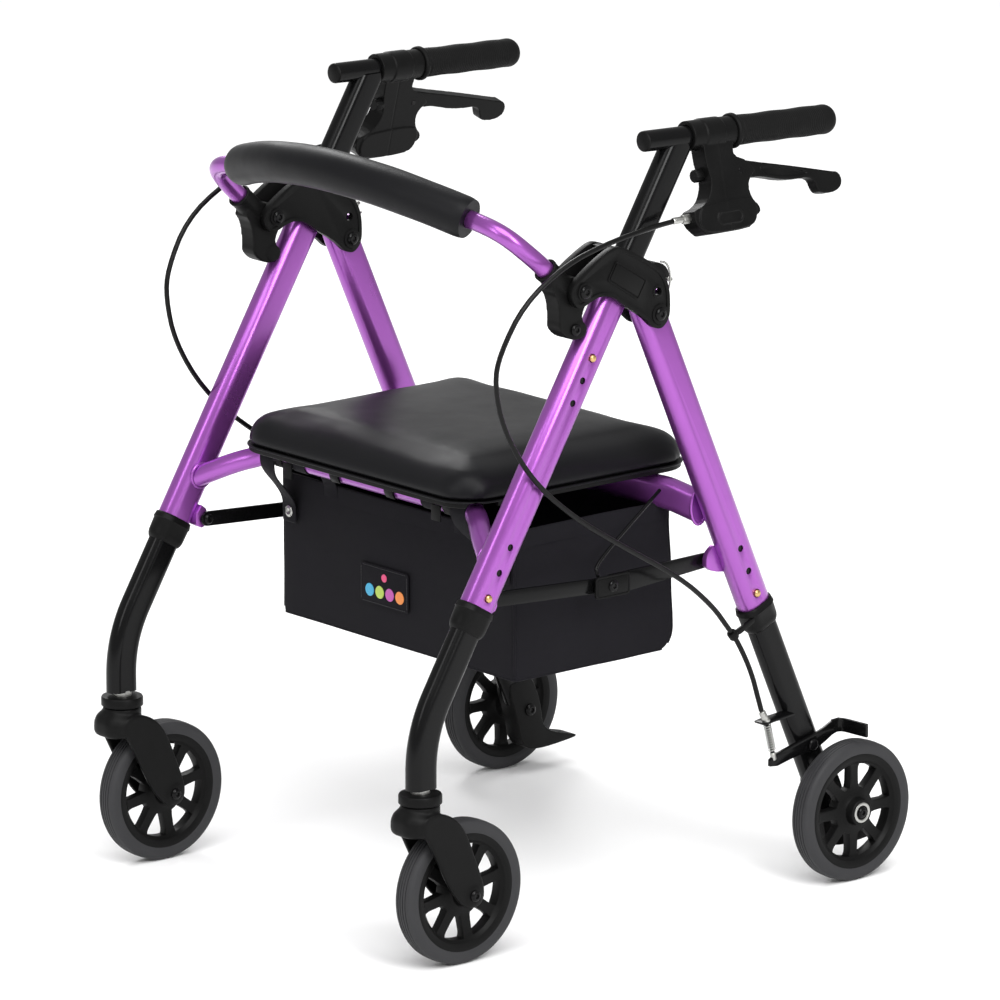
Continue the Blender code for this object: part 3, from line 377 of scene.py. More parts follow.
def bead(path, radius, up, count=8):
    """A round bead along a closed path that lies across the up direction."""
    up = Vector(up)
    rings = []
    for i, point in enumerate(path):
        along = (path[(i + 1) % len(path)] - path[i - 1]).normalized()
        rings.append(placed(circle(radius, count), point, along.cross(up).normalized(), up))
    return skin(rings, wrap=True)


def rod(start, end, radius, count=32):
    start = Vector(start)
    length = (Vector(end) - start).length
    return lathe(((0, radius), (length, radius)), start, Vector(end) - start, count)


def helix(start, axis, across, pitch, turns, radius):
    """The centre line of a coil, with 16 points to a turn."""
    axis = Vector(axis)
    across = Vector(across)
    up = axis.cross(across)
    points = []
    for i in range(16 * turns + 1):
        turn = 2 * math.pi * i / 16
        centre = Vector(start) + axis * (pitch * i / 16)
        points.append(centre + (across * math.cos(turn) + up * math.sin(turn)) * radius)
    return points


def x_rod(y, z, x0, x1, radius, count=32):
    return rod((x0, y, z), (x1, y, z), radius, count)


def prism(outline, x0, x1):
    return skin([[Vector((x, y, z)) for y, z in outline] for x in (x0, x1)])


def box(x0, x1, y0, y1, z0, z1):
    return prism(((y0, z0), (y1, z0), (y1, z1), (y0, z1)), x0, x1)


def join(*solids):
    whole = bmesh.new()
    for bm in solids:
        mesh = bpy.data.meshes.new("joined")
        bm.to_mesh(mesh)
        whole.from_mesh(mesh)
        bm.free()
        bpy.data.meshes.remove(mesh)
    return whole


def moved(bm, matrix):
    bm.transform(matrix)
    return bm


def rounded(points, times=2):
    """Corner cutting of a closed outline."""
    points = [Vector(p) for p in points]
    for _ in range(times):
        made = []
        for one, two in zip(points, points[1:] + points[:1]):
            made.append(one.lerp(two, 0.25))
            made.append(one.lerp(two, 0.75))
        points = made
    return [tuple(p) for p in points]


def smooth(points, times=2):
    """Corner cutting of a route that keeps the two ends."""
    points = [Vector(p) for p in points]
    for _ in range(times):
        made = [points[0]]
        for one, two in zip(points, points[1:]):
            made.append(one.lerp(two, 0.25))
            made.append(one.lerp(two, 0.75))
        made.append(points[-1])
        points = made
    return points


def inset(outline, distance):
    count = len(outline)
    area = sum(
        outline[i][0] * outline[(i + 1) % count][1] - outline[(i + 1) % count][0] * outline[i][1]
        for i in range(count)
    )
    turn = 1 if area > 0 else -1
    points = []
    for i in range(count):
        one = (Vector(outline[i]) - Vector(outline[i - 1])).normalized()
        two = (Vector(outline[(i + 1) % count]) - Vector(outline[i])).normalized()
        way = Vector((-(one.y + two.y), one.x + two.x)).normalized() * turn
        normal = Vector((-one.y, one.x)) * turn
        points.append(tuple(Vector(outline[i]) + way * (distance / max(way.dot(normal), 0.5))))
    return points


def channel(outline, near, far, x0, x1):
    """A ring-shaped cutter between two insets of an outline."""
    one = inset(outline, near)
    two = inset(outline, far)
    rings = [
        [Vector((x, y, z)) for y, z in ring]
        for x, ring in ((x0, one), (x1, one), (x1, two), (x0, two))
    ]
    return skin(rings, wrap=True)


def evaluated_mesh(obj):
    bpy.context.view_layer.update()
    graph = bpy.context.evaluated_depsgraph_get()
    mesh = bpy.data.meshes.new_from_object(obj.evaluated_get(graph))
    mesh.name = obj.name
    return mesh


def voxel_skin(obj, size):
    skin_on = obj.modifiers.new("skin", "REMESH")
    skin_on.mode = "VOXEL"
    skin_on.voxel_size = size


def settle(obj, angle=32.0):
    """Applies every modifier and shades the result."""
    mesh = evaluated_mesh(obj)
    obj.modifiers.clear()
    obj.data = mesh
    for face in mesh.polygons:
        face.use_smooth = True
    mesh.set_sharp_from_angle(angle=math.radians(angle))


def link(name, bm, side=0):
    if side < 0:
        bm.transform(Matrix.Scale(-1, 4, (1, 0, 0)))
        bmesh.ops.reverse_faces(bm, faces=bm.faces[:])
    mesh = bpy.data.meshes.new(name)
    bm.to_mesh(mesh)
    bm.free()
    obj = bpy.data.objects.new(name, mesh)
    bpy.context.collection.objects.link(obj)
    return obj


def cut(bm):
    return "DIFFERENCE", bm


def fuse(bm):
    return "UNION", bm


def piece(name, side, base, body, slot, *steps, bevel=0.0, voxel=0.0, soften=4, angle=32.0,
          nodes=(), segments=2):
    """One visible piece: a base solid with booleans, then a bevel or a moulded (voxel) skin."""
    name = tag(name, side)
    obj = link(name, base, side)
    tools = []
    for number, (operation, bm) in enumerate(steps):
        tool = link(f"{name}.tool{number}", bm, side)
        modifier = obj.modifiers.new("step", "BOOLEAN")
        modifier.operation = operation
        modifier.solver = "EXACT"
        modifier.object = tool
        tools.append(tool)
    if bevel:
        edge = obj.modifiers.new("edge", "BEVEL")
        edge.width = bevel
        edge.segments = segments
        edge.limit_method = "ANGLE"
        edge.angle_limit = math.radians(38)
        edge.use_clamp_overlap = True
    if voxel:
        voxel_skin(obj, voxel)
        relax = obj.modifiers.new("relax", "SMOOTH")
        relax.iterations = soften
        relax.factor = 0.5
    settle(obj, 60.0 if voxel else angle)
    for tool in tools:
        bpy.data.objects.remove(tool, do_unlink=True)
    obj.data.materials.clear()
    obj.data.materials.append(MATS[slot])
    if body:
        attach(obj, body)
    if nodes:
        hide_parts(*[tag(node_name, side) for node_name in nodes])
    return obj


def tag(name, side):
    """The name on this side: 1 is left, -1 right, and 0 the middle, which has no ending."""
    return name + ("", "_left", "_right")[side]


def front(distance):
    return FRONT_TOP + FRONT_DOWN * distance


def rear(distance):
    return FOLD_PIVOT + REAR_DOWN * distance


def t_bar(y):
    share = (y - T_BAR_FRONT.y) / (T_BAR_REAR.y - T_BAR_FRONT.y)
    return T_BAR_FRONT.lerp(T_BAR_REAR, share)


def hole(point, radius, x1=0.2650):
    return x_rod(point.y, point.z, 0.2560, x1, radius, 24)


def button_hole(point):
    """The hole in an inner tube that its snap button comes out of."""
    return hole(point, BUTTON_HOLE_RADIUS, 0.2630)


def dome_screw(name, side, y, z, x, radius, height, body, sign=1):
    """A button-head screw with a hex socket, standing out along X."""
    profile = [(0, radius), (height * 0.45, radius), (height * 0.8, radius * 0.86)]
    profile += [(height, radius * 0.62)]
    head = lathe(profile, (x, y, z), (sign, 0, 0), 32)
    socket = lathe(
        ((0, radius * 0.42), (height, radius * 0.42)), (x + sign * height * 0.45, y, z),
        (sign, 0, 0), 6,
    )
    piece(name, side, head, body, "black_anodised", cut(socket), bevel=0.0003)


# ---------------------------------------------------------------- frame and legs


def build_legs(side):
    section = rounded_rect(*OUTER_SECTION)
    bore = rounded_rect(*OUTER_BORE)
    inner = rounded_rect(*INNER_SECTION)
    inner_bore = rounded_rect(*INNER_BORE)
    holes = [hole(front(t), SPARE_HOLE_RADIUS) for t in HANDLE_HOLES + FRONT_HOLES]
    holes += [hole(front(t), BUTTON_HOLE_RADIUS) for t in (HANDLE_BUTTON, FRONT_BUTTON)]
    piece(
        "front_tube", side, sweep([front(t) for t in FRONT_TUBE], section, bore=bore),
        "frame", "purple_paint", cut(join(*holes)), bevel=0.0004, nodes=["front_leg"],
    )
    lug = (
        (-0.2060, 0.3850), (-0.2000, 0.3800), (-0.1983, 0.3740), (-0.1983, 0.3665),
        (-0.2005, 0.3620), (-0.2060, 0.3595), (-0.2147, 0.3640), (-0.2140, 0.3760),
    )
    piece("front_lug", side, prism(lug, 0.2335, 0.2450), "frame", "purple_paint", bevel=0.0012)
    dome_screw("front_strut_pin", side, *STRUT_FRONT, 0.2284, 0.0056, 0.0034, "frame", -1)
    holes = [hole(rear(s), SPARE_HOLE_RADIUS) for s in REAR_HOLES]
    holes.append(hole(rear(REAR_BUTTON), BUTTON_HOLE_RADIUS))
    piece(
        "rear_tube", side, sweep([rear(s) for s in REAR_TUBE], section, bore=bore),
        "rear_frame", "purple_paint", cut(join(*holes)), bevel=0.0004, nodes=["rear_leg"],
    )
    lug = (
        (0.0980, 0.3830), (0.0900, 0.3765), (0.0866, 0.3690), (0.0870, 0.3610),
        (0.0925, 0.3565), (0.1020, 0.3535), (0.1130, 0.3520), (0.1090, 0.3680),
    )
    piece("rear_lug", side, prism(lug, 0.2385, 0.2460), "rear_frame", "purple_paint", bevel=0.0012)
    dome_screw("rear_strut_pin", side, *STRUT_REAR, 0.2324, 0.0056, 0.0034, "rear_frame", -1)
    # handle post, cut to the T-bar above
    piece(
        "post", side,
        sweep([front(-0.040), front(0.300)], inner, bore=inner_bore), tag("handle", side),
        "black_anodised",
        cut(box(0.235, 0.265, -0.03, 0.09, 0.8215, 0.86)),
        cut(rod(t_bar(0.0486), t_bar(0.0800), 0.0163, 32)),
        cut(button_hole(front(HANDLE_BUTTON))),
        nodes=["handle_post"],
    )
    # front lower leg: straight, bent, then upright over the caster
    drop = (FRONT_TOP.y - CASTER_STEM[1]) / -FRONT_DOWN.y
    corner = front(drop)
    start = front(0.415)
    end = Vector((LEG_X, CASTER_STEM[1], 0.1940))
    one = corner + (start - corner).normalized() * 0.040
    two = corner + (end - corner).normalized() * 0.040
    route = [start] + [
        one.lerp(corner, i / 14).lerp(corner.lerp(two, i / 14), i / 14) for i in range(15)
    ] + [end]
    piece(
        "front_lower_tube", side, sweep(route, inner, bore=inner_bore),
        tag("front_lower", side), "black_anodised",
        cut(button_hole(front(FRONT_BUTTON))),
        nodes=["front_lower_leg"],
    )
    x, y = CASTER_STEM
    stem = ((0, 0.0092), (0.0012, 0.0102), (0.0090, 0.0102), (0.0100, 0.0092))
    piece("stem_spacer", side, lathe(stem, (x, y, 0.1862), (0, 0, 1)),
          tag("front_lower", side), "zinc_steel")
    plug = sweep([(LEG_X, y, 0.1950), (LEG_X, y, 0.1990)], rounded_rect(0.0188, 0.0308, 0.0086))
    piece("tube_plug", side, plug, tag("front_lower", side), "black_plastic", bevel=0.0008)
    # rear lower leg
    piece(
        "rear_lower_tube", side, sweep([rear(0.290), rear(0.612)], inner, bore=inner_bore),
        tag("rear_lower", side), "black_anodised",
        cut(button_hole(rear(REAR_BUTTON))),
        nodes=["rear_lower_leg"],
    )
    profile = [(0, 0.0040), (0.0024, 0.0040)]
    profile += [(0.0024 + 0.0021 * math.sin(a), 0.0040 * math.cos(a)) for a in
                (0.3, 0.6, 0.9, 1.2, 1.4)]
    buttons = (
        ("handle", front(HANDLE_BUTTON)),
        ("front", front(FRONT_BUTTON)),
        ("rear", rear(REAR_BUTTON)),
    )
    for name, point in buttons:
        button = lathe(profile, (0.2614, point.y, point.z), (1, 0, 0), 28)
        piece(f"brass_button_{name}", side, button, tag(f"button_{name}", side), "brass",
              nodes=[f"snap_button_{name}"])


def collar(point, top, lip):
    """A moulded collar under a tube mouth, with a lip over the tube and a tapered foot."""
    along = (point(1.0) - point(0.0)).normalized()
    across = Vector((1, 0, 0))
    up = along.cross(across)
    levels = (
        (-lip, -0.0003), (-lip + 0.0006, 0.0006), (0.0, 0.0010), (0.0035, 0.0018), (0.0045, 0.0008),
        (0.0190, 0.0004), (0.0225, -0.0004), (0.0255, -0.0020), (0.0265, -0.0034),
    )
    rings = []
    for distance, grow in levels:
        section = rounded_rect(0.0280 + 2 * grow, 0.0406 + 2 * grow, 0.0130 + grow, 8)
        rings.append(placed(section, point(top + distance), across, up))
    lower_hole = (0.0226, 0.0346, 0.0103)
    upper_hole = (0.0258, 0.0385, 0.0121)
    for distance, size in ((0.0265, lower_hole), (0.0002, lower_hole), (0.0, upper_hole),
                           (-lip, upper_hole)):
        rings.append(placed(rounded_rect(*size, 8), point(top + distance), across, up))
    return skin(rings, wrap=True)


def build_collars(side):
    for end, point, tube, body in (
        ("front", front, FRONT_TUBE, "frame"), ("rear", rear, REAR_TUBE, "rear_frame"),
    ):
        piece(f"{end}_leg_collar", side, collar(point, tube[1] + 0.0003, 0.003), body,
              "black_plastic", angle=50, nodes=[f"{end}_collar"])
    guide = lathe(
        ((-0.0045, 0.0031), (-0.0045, 0.0048), (-0.003, 0.0054), (0.003, 0.0054),
         (0.0045, 0.0048), (0.0045, 0.0031)),
        (0.2624, 0.1097, 0.2876), (0, 0.63, -0.777), 32, loop=True,
    )
    arm = ((0.1150, 0.2862), (0.1200, 0.2872), (0.1390, 0.2965), (0.1390, 0.3020), (0.1130, 0.2915))
    piece("cable_clip", side, guide, "rear_frame", "black_plastic")
    piece("clip_arm", side, prism(arm, 0.2600, 0.2640), "rear_frame", "black_plastic", bevel=0.0008)


def hub_holes():
    return join(
        x_rod(*HUB_FRONT_SCREW, 0.225, 0.275, 0.0044), x_rod(*HUB_SPARE_HOLE, 0.225, 0.275, 0.0045),
        x_rod(*FOLD_PIVOT.yz, 0.225, 0.275, 0.0044),
    )


def build_hub(side):
    outline = rounded(HUB_OUTLINE, 2)
    corners = [Vector(p) for p in BADGE_OUTLINE]
    middle = sum(corners, Vector((0, 0))) / 4
    wide = (corners[1] - corners[0]).length
    along = (corners[1] - corners[0]).normalized()
    up = Vector((-along.y, along.x))
    tall = abs((corners[2] - corners[1]).dot(up))
    badge = [tuple(p) for p in placed(rounded_rect(wide, tall, 0.0030, 5), middle, along, up)]
    x1 = HUB_FACE_X
    plate = prism(outline, 0.2630, x1)
    # raised rim all round, badge pad with a sunk frame, and bosses for the screws
    field = prism(inset(outline, 0.0042), x1 - 0.0011, x1 + 0.002)
    piece(
        "hub_cover", side, plate, "frame", "black_plastic", cut(field),
        fuse(join(
            x_rod(*HUB_FRONT_SCREW, x1 - 0.0030, x1 + 0.0002, 0.0098),
            x_rod(*FOLD_PIVOT.yz, x1 - 0.0030, x1 + 0.0002, 0.0106),
            x_rod(*HUB_SPARE_HOLE, x1 - 0.0030, x1 - 0.0002, 0.0068),
            prism(badge, x1 - 0.0030, x1 + 0.0002),
        )),
        cut(channel(badge, 0.0013, 0.0026, x1 - 0.0010, x1 + 0.001)),
        cut(hub_holes()), bevel=0.0006, nodes=["hub_outer"],
    )
    field = prism(inset(outline, 0.0042), 0.2270, 0.2306)
    piece(
        "hub_back", side, prism(outline, 0.2295, 0.2370), "frame", "black_plastic",
        cut(field),
        fuse(join(
            x_rod(*HUB_FRONT_SCREW, 0.2293, 0.2330, 0.0098),
            x_rod(*FOLD_PIVOT.yz, 0.2293, 0.2330, 0.0106),
        )),
        cut(hub_holes()), bevel=0.0006, nodes=["hub_inner"],
    )
    # moulded web that closes the top of the housing between the two plates
    ridge = [(-0.066, 0.7245), (-0.058, 0.7255), (-0.048, 0.7220), (-0.040, 0.7180),
             (-0.046, 0.7150), (-0.058, 0.7190), (-0.064, 0.7190)]
    piece("hub_web", side, prism(ridge, 0.2368, 0.2632), "frame", "black_plastic", bevel=0.0006)
    bolt = [(0.0, 0.0036), (0.0380, 0.0036)]
    shaft = lathe(bolt, (0.2310, *FOLD_PIVOT.yz), (1, 0, 0), 24)
    piece("hub_bolt_shaft", side, shaft, "frame", "zinc_steel", nodes=["fold_bolt"])
    for sign, x, end in ((1, 0.2706, "out"), (-1, 0.2292, "in")):
        dome_screw(f"fold_screw_{end}", side, *FOLD_PIVOT.yz, x, 0.0070, 0.0030, "frame", sign)
        dome_screw(f"hub_screw_{end}", side, *HUB_FRONT_SCREW, x, 0.0072, 0.0030, "backrest", sign)
    # sprung wire latch in a small carrier at the rear edge of the hub
    carrier = rounded(((-0.0040, 0.7010), (0.0070, 0.6995), (0.0150, 0.6930), (0.0175, 0.6850),
                       (0.0150, 0.6820), (0.0090, 0.6870), (-0.0040, 0.6920)), 1)
    piece("latch_carrier", side, prism(carrier, 0.2450, 0.2634), "frame", "black_plastic",
          bevel=0.0008)
    loop = smooth((
        (0.2575, 0.0100, 0.6995), (0.2590, 0.0150, 0.6985), (0.2598, 0.0195, 0.6930),
        (0.2595, 0.0215, 0.6850), (0.2585, 0.0225, 0.6760), (0.2560, 0.0227, 0.6680),
        (0.2490, 0.0225, 0.6660), (0.2430, 0.0223, 0.6720),
    ), 2)
    piece("latch_wire", side, sweep(loop, circle(0.0011, 10)), "frame", "zinc_steel", angle=80)
    coil = helix((0.2478, 0.0220, 0.6800), (1, 0, 0), (0, 1, 0), 0.0017, 7, 0.0026)
    piece("latch_spring", side, sweep(coil, circle(0.0006, 8)), "frame", "zinc_steel", angle=80)


def both_sides(points):
    mirrored = [(-p[0], p[1], p[2]) for p in points[::-1]]
    if abs(points[-1][0]) < 1e-6:
        mirrored = mirrored[1:]
    return [tuple(p) for p in points] + mirrored


def weld_bead(name, side, centre, radius_a, radius_b, body):
    """A rippled ring of weld where a round tube meets a leg."""
    ring = []
    for i in range(72):
        turn = 2 * math.pi * i / 72
        ripple = 1 + 0.018 * math.sin(turn * 26)
        ring.append(Vector((centre[0], centre[1] + radius_a * ripple * math.cos(turn),
                            centre[2] + radius_b * ripple * math.sin(turn))))
    piece(name, side, bead(ring, 0.0019, (1, 0, 0)), body, "purple_paint", angle=80)


def rail_route():
    half = [(0.2480, -0.2095, 0.4110), (0.215, -0.1930, 0.4280), (0.197, -0.1815, 0.4365)]
    half += [(0.183, -0.1720, 0.4414), (0.168, -0.1652, 0.4474), (0.150, *RAIL_CENTRE)]
    return both_sides([tuple(p) for p in smooth(half, 3)] + [(0.0, *RAIL_CENTRE)])


def swung_rail(degrees):
    """Where the front rail is, seen from the seat, when the seat is lifted this far."""
    centre = Vector((0, *RAIL_CENTRE))
    turn = Matrix.Rotation(math.radians(-degrees), 4, "X")
    around = Matrix.Translation(centre) @ turn @ Matrix.Translation(-centre)
    return moved(sweep(rail_route(), circle(0.0115, 24), side=(0, 0, 1)), around)


def beyond_legs():
    """What is left of a rail's ends past the inner faces of the legs."""
    return join(box(0.2371, 0.3, -0.3, 0.2, 0.3, 0.5), box(-0.3, -0.2371, -0.3, 0.2, 0.3, 0.5))


def build_rails():
    route = rail_route()
    piece("front_rail_tube", 0, sweep(route, circle(0.0111, 32), side=(0, 0, 1)), "frame",
          "purple_paint", cut(beyond_legs()), nodes=["front_rail"])
    half = [(0.2480, 0.0860, 0.4225), (0.220, 0.0785, 0.4300), (0.200, 0.0735, 0.4350)]
    half += [(0.180, 0.0690, 0.4353), (0.150, 0.068, 0.4355)]
    route = both_sides([tuple(p) for p in smooth(half, 3)] + [(0.0, 0.068, 0.4355)])
    section = rounded_rect(0.035, 0.0195, 0.0097, 10)
    piece("rear_brace_tube", 0, sweep(route, section, side=(0, 0, 1)), "rear_frame",
          "purple_paint", cut(beyond_legs()), nodes=["rear_brace"])
    for side in (1, -1):
        weld_bead("rail_weld", side, (0.2368, -0.2043, 0.4166), 0.0125, 0.0128, "frame")
        weld_bead("brace_weld", side, (0.2368, 0.0835, 0.4254), 0.0108, 0.0188, "rear_frame")


# ---------------------------------------------------------------- seat and bag


def seat_outline(gap, z, steps=10):
    width = 2 * (SEAT_HALF_WIDTH - gap)
    depth = SEAT_DEPTH - 2 * gap
    points = rounded_rect(width, depth, max(0.042 - gap, 0.008), steps)
    return [Vector((a, SEAT_MIDDLE_Y + b, z)) for a, b in points]


def swell(obj, pressure, cap, keep):
    """Cloth under pressure on a voxel skin; keep says which points stay where they were."""
    voxel_skin(obj, 0.005)
    mesh = evaluated_mesh(obj)
    obj.modifiers.clear()
    obj.data = mesh
    rest = [v.co.copy() for v in mesh.vertices]
    pinned = obj.vertex_groups.new(name="pin")
    pinned.add([i for i, p in enumerate(rest) if keep(p)], 1.0, "REPLACE")
    cloth = obj.modifiers.new("cloth", "CLOTH")
    cloth.settings.quality = 4
    cloth.settings.mass = 0.3
    cloth.settings.tension_stiffness = 15
    cloth.settings.compression_stiffness = 15
    cloth.settings.bending_stiffness = 1.0
    cloth.settings.use_pressure = True
    cloth.settings.uniform_pressure_force = pressure
    cloth.settings.vertex_group_mass = "pin"
    cloth.settings.effector_weights.gravity = 0.0
    cloth.point_cache.frame_start = 1
    cloth.point_cache.frame_end = 20
    for step in range(1, 21):
        bpy.context.scene.frame_set(step)
    swollen = evaluated_mesh(obj)
    bpy.context.scene.frame_set(1)
    obj.modifiers.clear()
    moves = []
    for new, old in zip(swollen.vertices, rest):
        move = new.co - old
        moves.append(move.normalized() * cap if move.length > cap else move)
    # the cover is one taut skin, so neighbouring moves are evened out
    beside = [[] for _ in moves]
    for edge in obj.data.edges:
        one, two = edge.vertices
        beside[one].append(two)
        beside[two].append(one)
    for _ in range(40):
        moves = [
            move * 0.4 + sum((moves[k] for k in near), Vector()) * (0.6 / len(near))
            if not keep(point) else Vector() for move, near, point in zip(moves, beside, rest)
        ]
    for vertex, move, old in zip(obj.data.vertices, moves, rest):
        vertex.co = old + move
    obj.vertex_groups.clear()


def build_seat():
    rings = [
        (0.4614, 0.0080), (0.4602, 0.0045), (0.4600, 0.0022), (0.4612, 0.0010), (0.4650, 0.0004),
        (0.4710, 0.0004), (0.4770, 0.0016), (0.4825, 0.0044), (0.4868, 0.0086), (0.4900, 0.0140),
        (0.4925, 0.0220), (0.4945, 0.0340), (0.4960, 0.0520), (0.4970, 0.0800),
    ]
    cushion = link("seat_cushion_cover", skin([seat_outline(g, z) for z, g in rings]))
    swell(cushion, 4.0, 0.0055, lambda p: p.z < 0.4630)
    relax = cushion.modifiers.new("relax", "SMOOTH")
    relax.iterations = 6
    fine = cushion.modifiers.new("fine", "SUBSURF")
    fine.levels = 1
    fine.render_levels = 1
    settle(cushion, 70)
    for vertex in cushion.data.vertices:
        x, y, z = vertex.co
        if z > 0.466:
            ripple = noise.noise(Vector((x * 9, y * 9, z * 20))) * 0.0011
            ripple += noise.noise(Vector((x * 30, y * 30, z * 40))) * 0.0003
            vertex.co.z += ripple * min((z - 0.466) / 0.02, 1.0)
            vertex.co.z = min(vertex.co.z, 0.5065)
    cushion.data.materials.append(MATS["black_vinyl"])
    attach(cushion, "seat")
    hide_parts("seat_cushion")
    welt = bead(seat_outline(0.0010, 0.4603, 8), 0.0011, (0, 0, 1), 10)
    piece("seat_welt", 0, welt, "seat", "black_vinyl",
          *[cut(swung_rail(turn)) for turn in (45, 38)], angle=80)
    pan = skin([seat_outline(g, z) for g, z in (
        (0.0070, 0.4606), (0.0062, 0.4550), (0.0054, 0.4543), (0.0026, 0.4543), (0.0018, 0.4550),
        (0.0016, 0.4604), (0.0060, 0.4612),
    )])
    ribs = [box(x - 0.001, x + 0.001, -0.140, 0.110, 0.4570, 0.4609)
            for x in (-0.12, -0.06, 0, 0.06, 0.12)]
    ribs += [box(-0.178, -0.121, y - 0.001, y + 0.001, 0.4570, 0.4609) for y in (-0.08, 0.0, 0.07)]
    steps = [fuse(bm) for bm in ribs]
    # the lip is cut away where the front corners swing past the bends of the rail
    steps += [cut(box(x0, x1, -0.195, -0.152, 0.450, 0.4600))
              for x0, x1 in ((-0.200, -0.180), (0.180, 0.200))]
    steps += [cut(swung_rail(turn)) for turn in (45, 38, 30)]
    piece("seat_pan_tray", 0, pan, "seat", "black_plastic", *steps, nodes=["seat_pan"])
    for number, x in enumerate((-0.140, -0.045, 0.045, 0.140)):
        arc = []
        for i in range(33):
            turn = math.radians(-48 + 276 * i / 32)
            c, s = math.cos(turn), math.sin(turn)
            arc.append([
                Vector((x + dx, RAIL_CENTRE[0] + r * c, RAIL_CENTRE[1] + r * s))
                for dx, r in ((-0.007, 0.0117), (0.007, 0.0117), (0.007, 0.0137), (-0.007, 0.0137))
            ])
        piece(f"seat_clip_{number}", 0, skin(arc), "seat", "black_plastic", bevel=0.0003)


def bag_wall(z):
    """The bag's outline at a height, with panels that bow a little and sag at the bottom."""
    low = max(0.0, 1 - (z - BAG_FLOOR) / 0.005)
    pull = 0.004 * (1 - math.sqrt(max(0.0, 1 - low * low)))
    low = max(0.0, 1 - (z - BAG_FLOOR) / 0.026)
    rear_pull = 0.024 * (1 - math.sqrt(max(0.0, 1 - low * low)))
    high = min(1.0, max(0.0, (z - 0.30) / 0.12))
    points = rounded_rect(BAG_WIDTH - pull * 2, BAG_DEPTH - pull * 2, 0.0055, 5, 26)
    out = []
    for a, b in points:
        x = a
        y = b - 0.020 - rear_pull * max(0.0, b / 0.110) ** 3
        level = (z - BAG_FLOOR) / 0.16
        belly = math.sin(math.pi * min(max(level, 0), 1))
        if abs(abs(x) - 0.1915) < 0.012 and abs(b) < 0.095:
            x += math.copysign(1, x) * (0.0026 * belly * math.cos(b / 0.11 * math.pi / 2)
                                        - 0.0050 * high * math.cos(b / 0.11 * math.pi / 2))
        if b > 0.095:
            y += 0.0030 * belly * math.cos(x / 0.185 * math.pi / 2) - 0.006 * high
        if b < -0.095:
            y -= 0.0014 * belly * math.cos(x / 0.185 * math.pi / 2)
        wrinkle = noise.noise(Vector((x * 14, y * 14 + 3.1, z * 22))) * 0.0016
        wrinkle += noise.noise(Vector((x * 45, y * 45, z * 30 + 7.7))) * 0.0005
        normal = Vector((x, (y + 0.02) * 1.7, 0)).normalized()
        if b < -0.095:
            normal = Vector((0, -1, 0))
            wrinkle *= 0.40
        out.append(Vector((x, y, z)) + normal * wrinkle)
    return out


def bag_top(x, y):
    """How high the wall reaches: the side panels stand a little above the front one."""
    if y < -0.120:
        return BAG_FRONT_TOP
    return 0.4222 - 0.005 * math.cos(x / 0.185 * math.pi / 2) * (1 if y > 0.08 else 0)


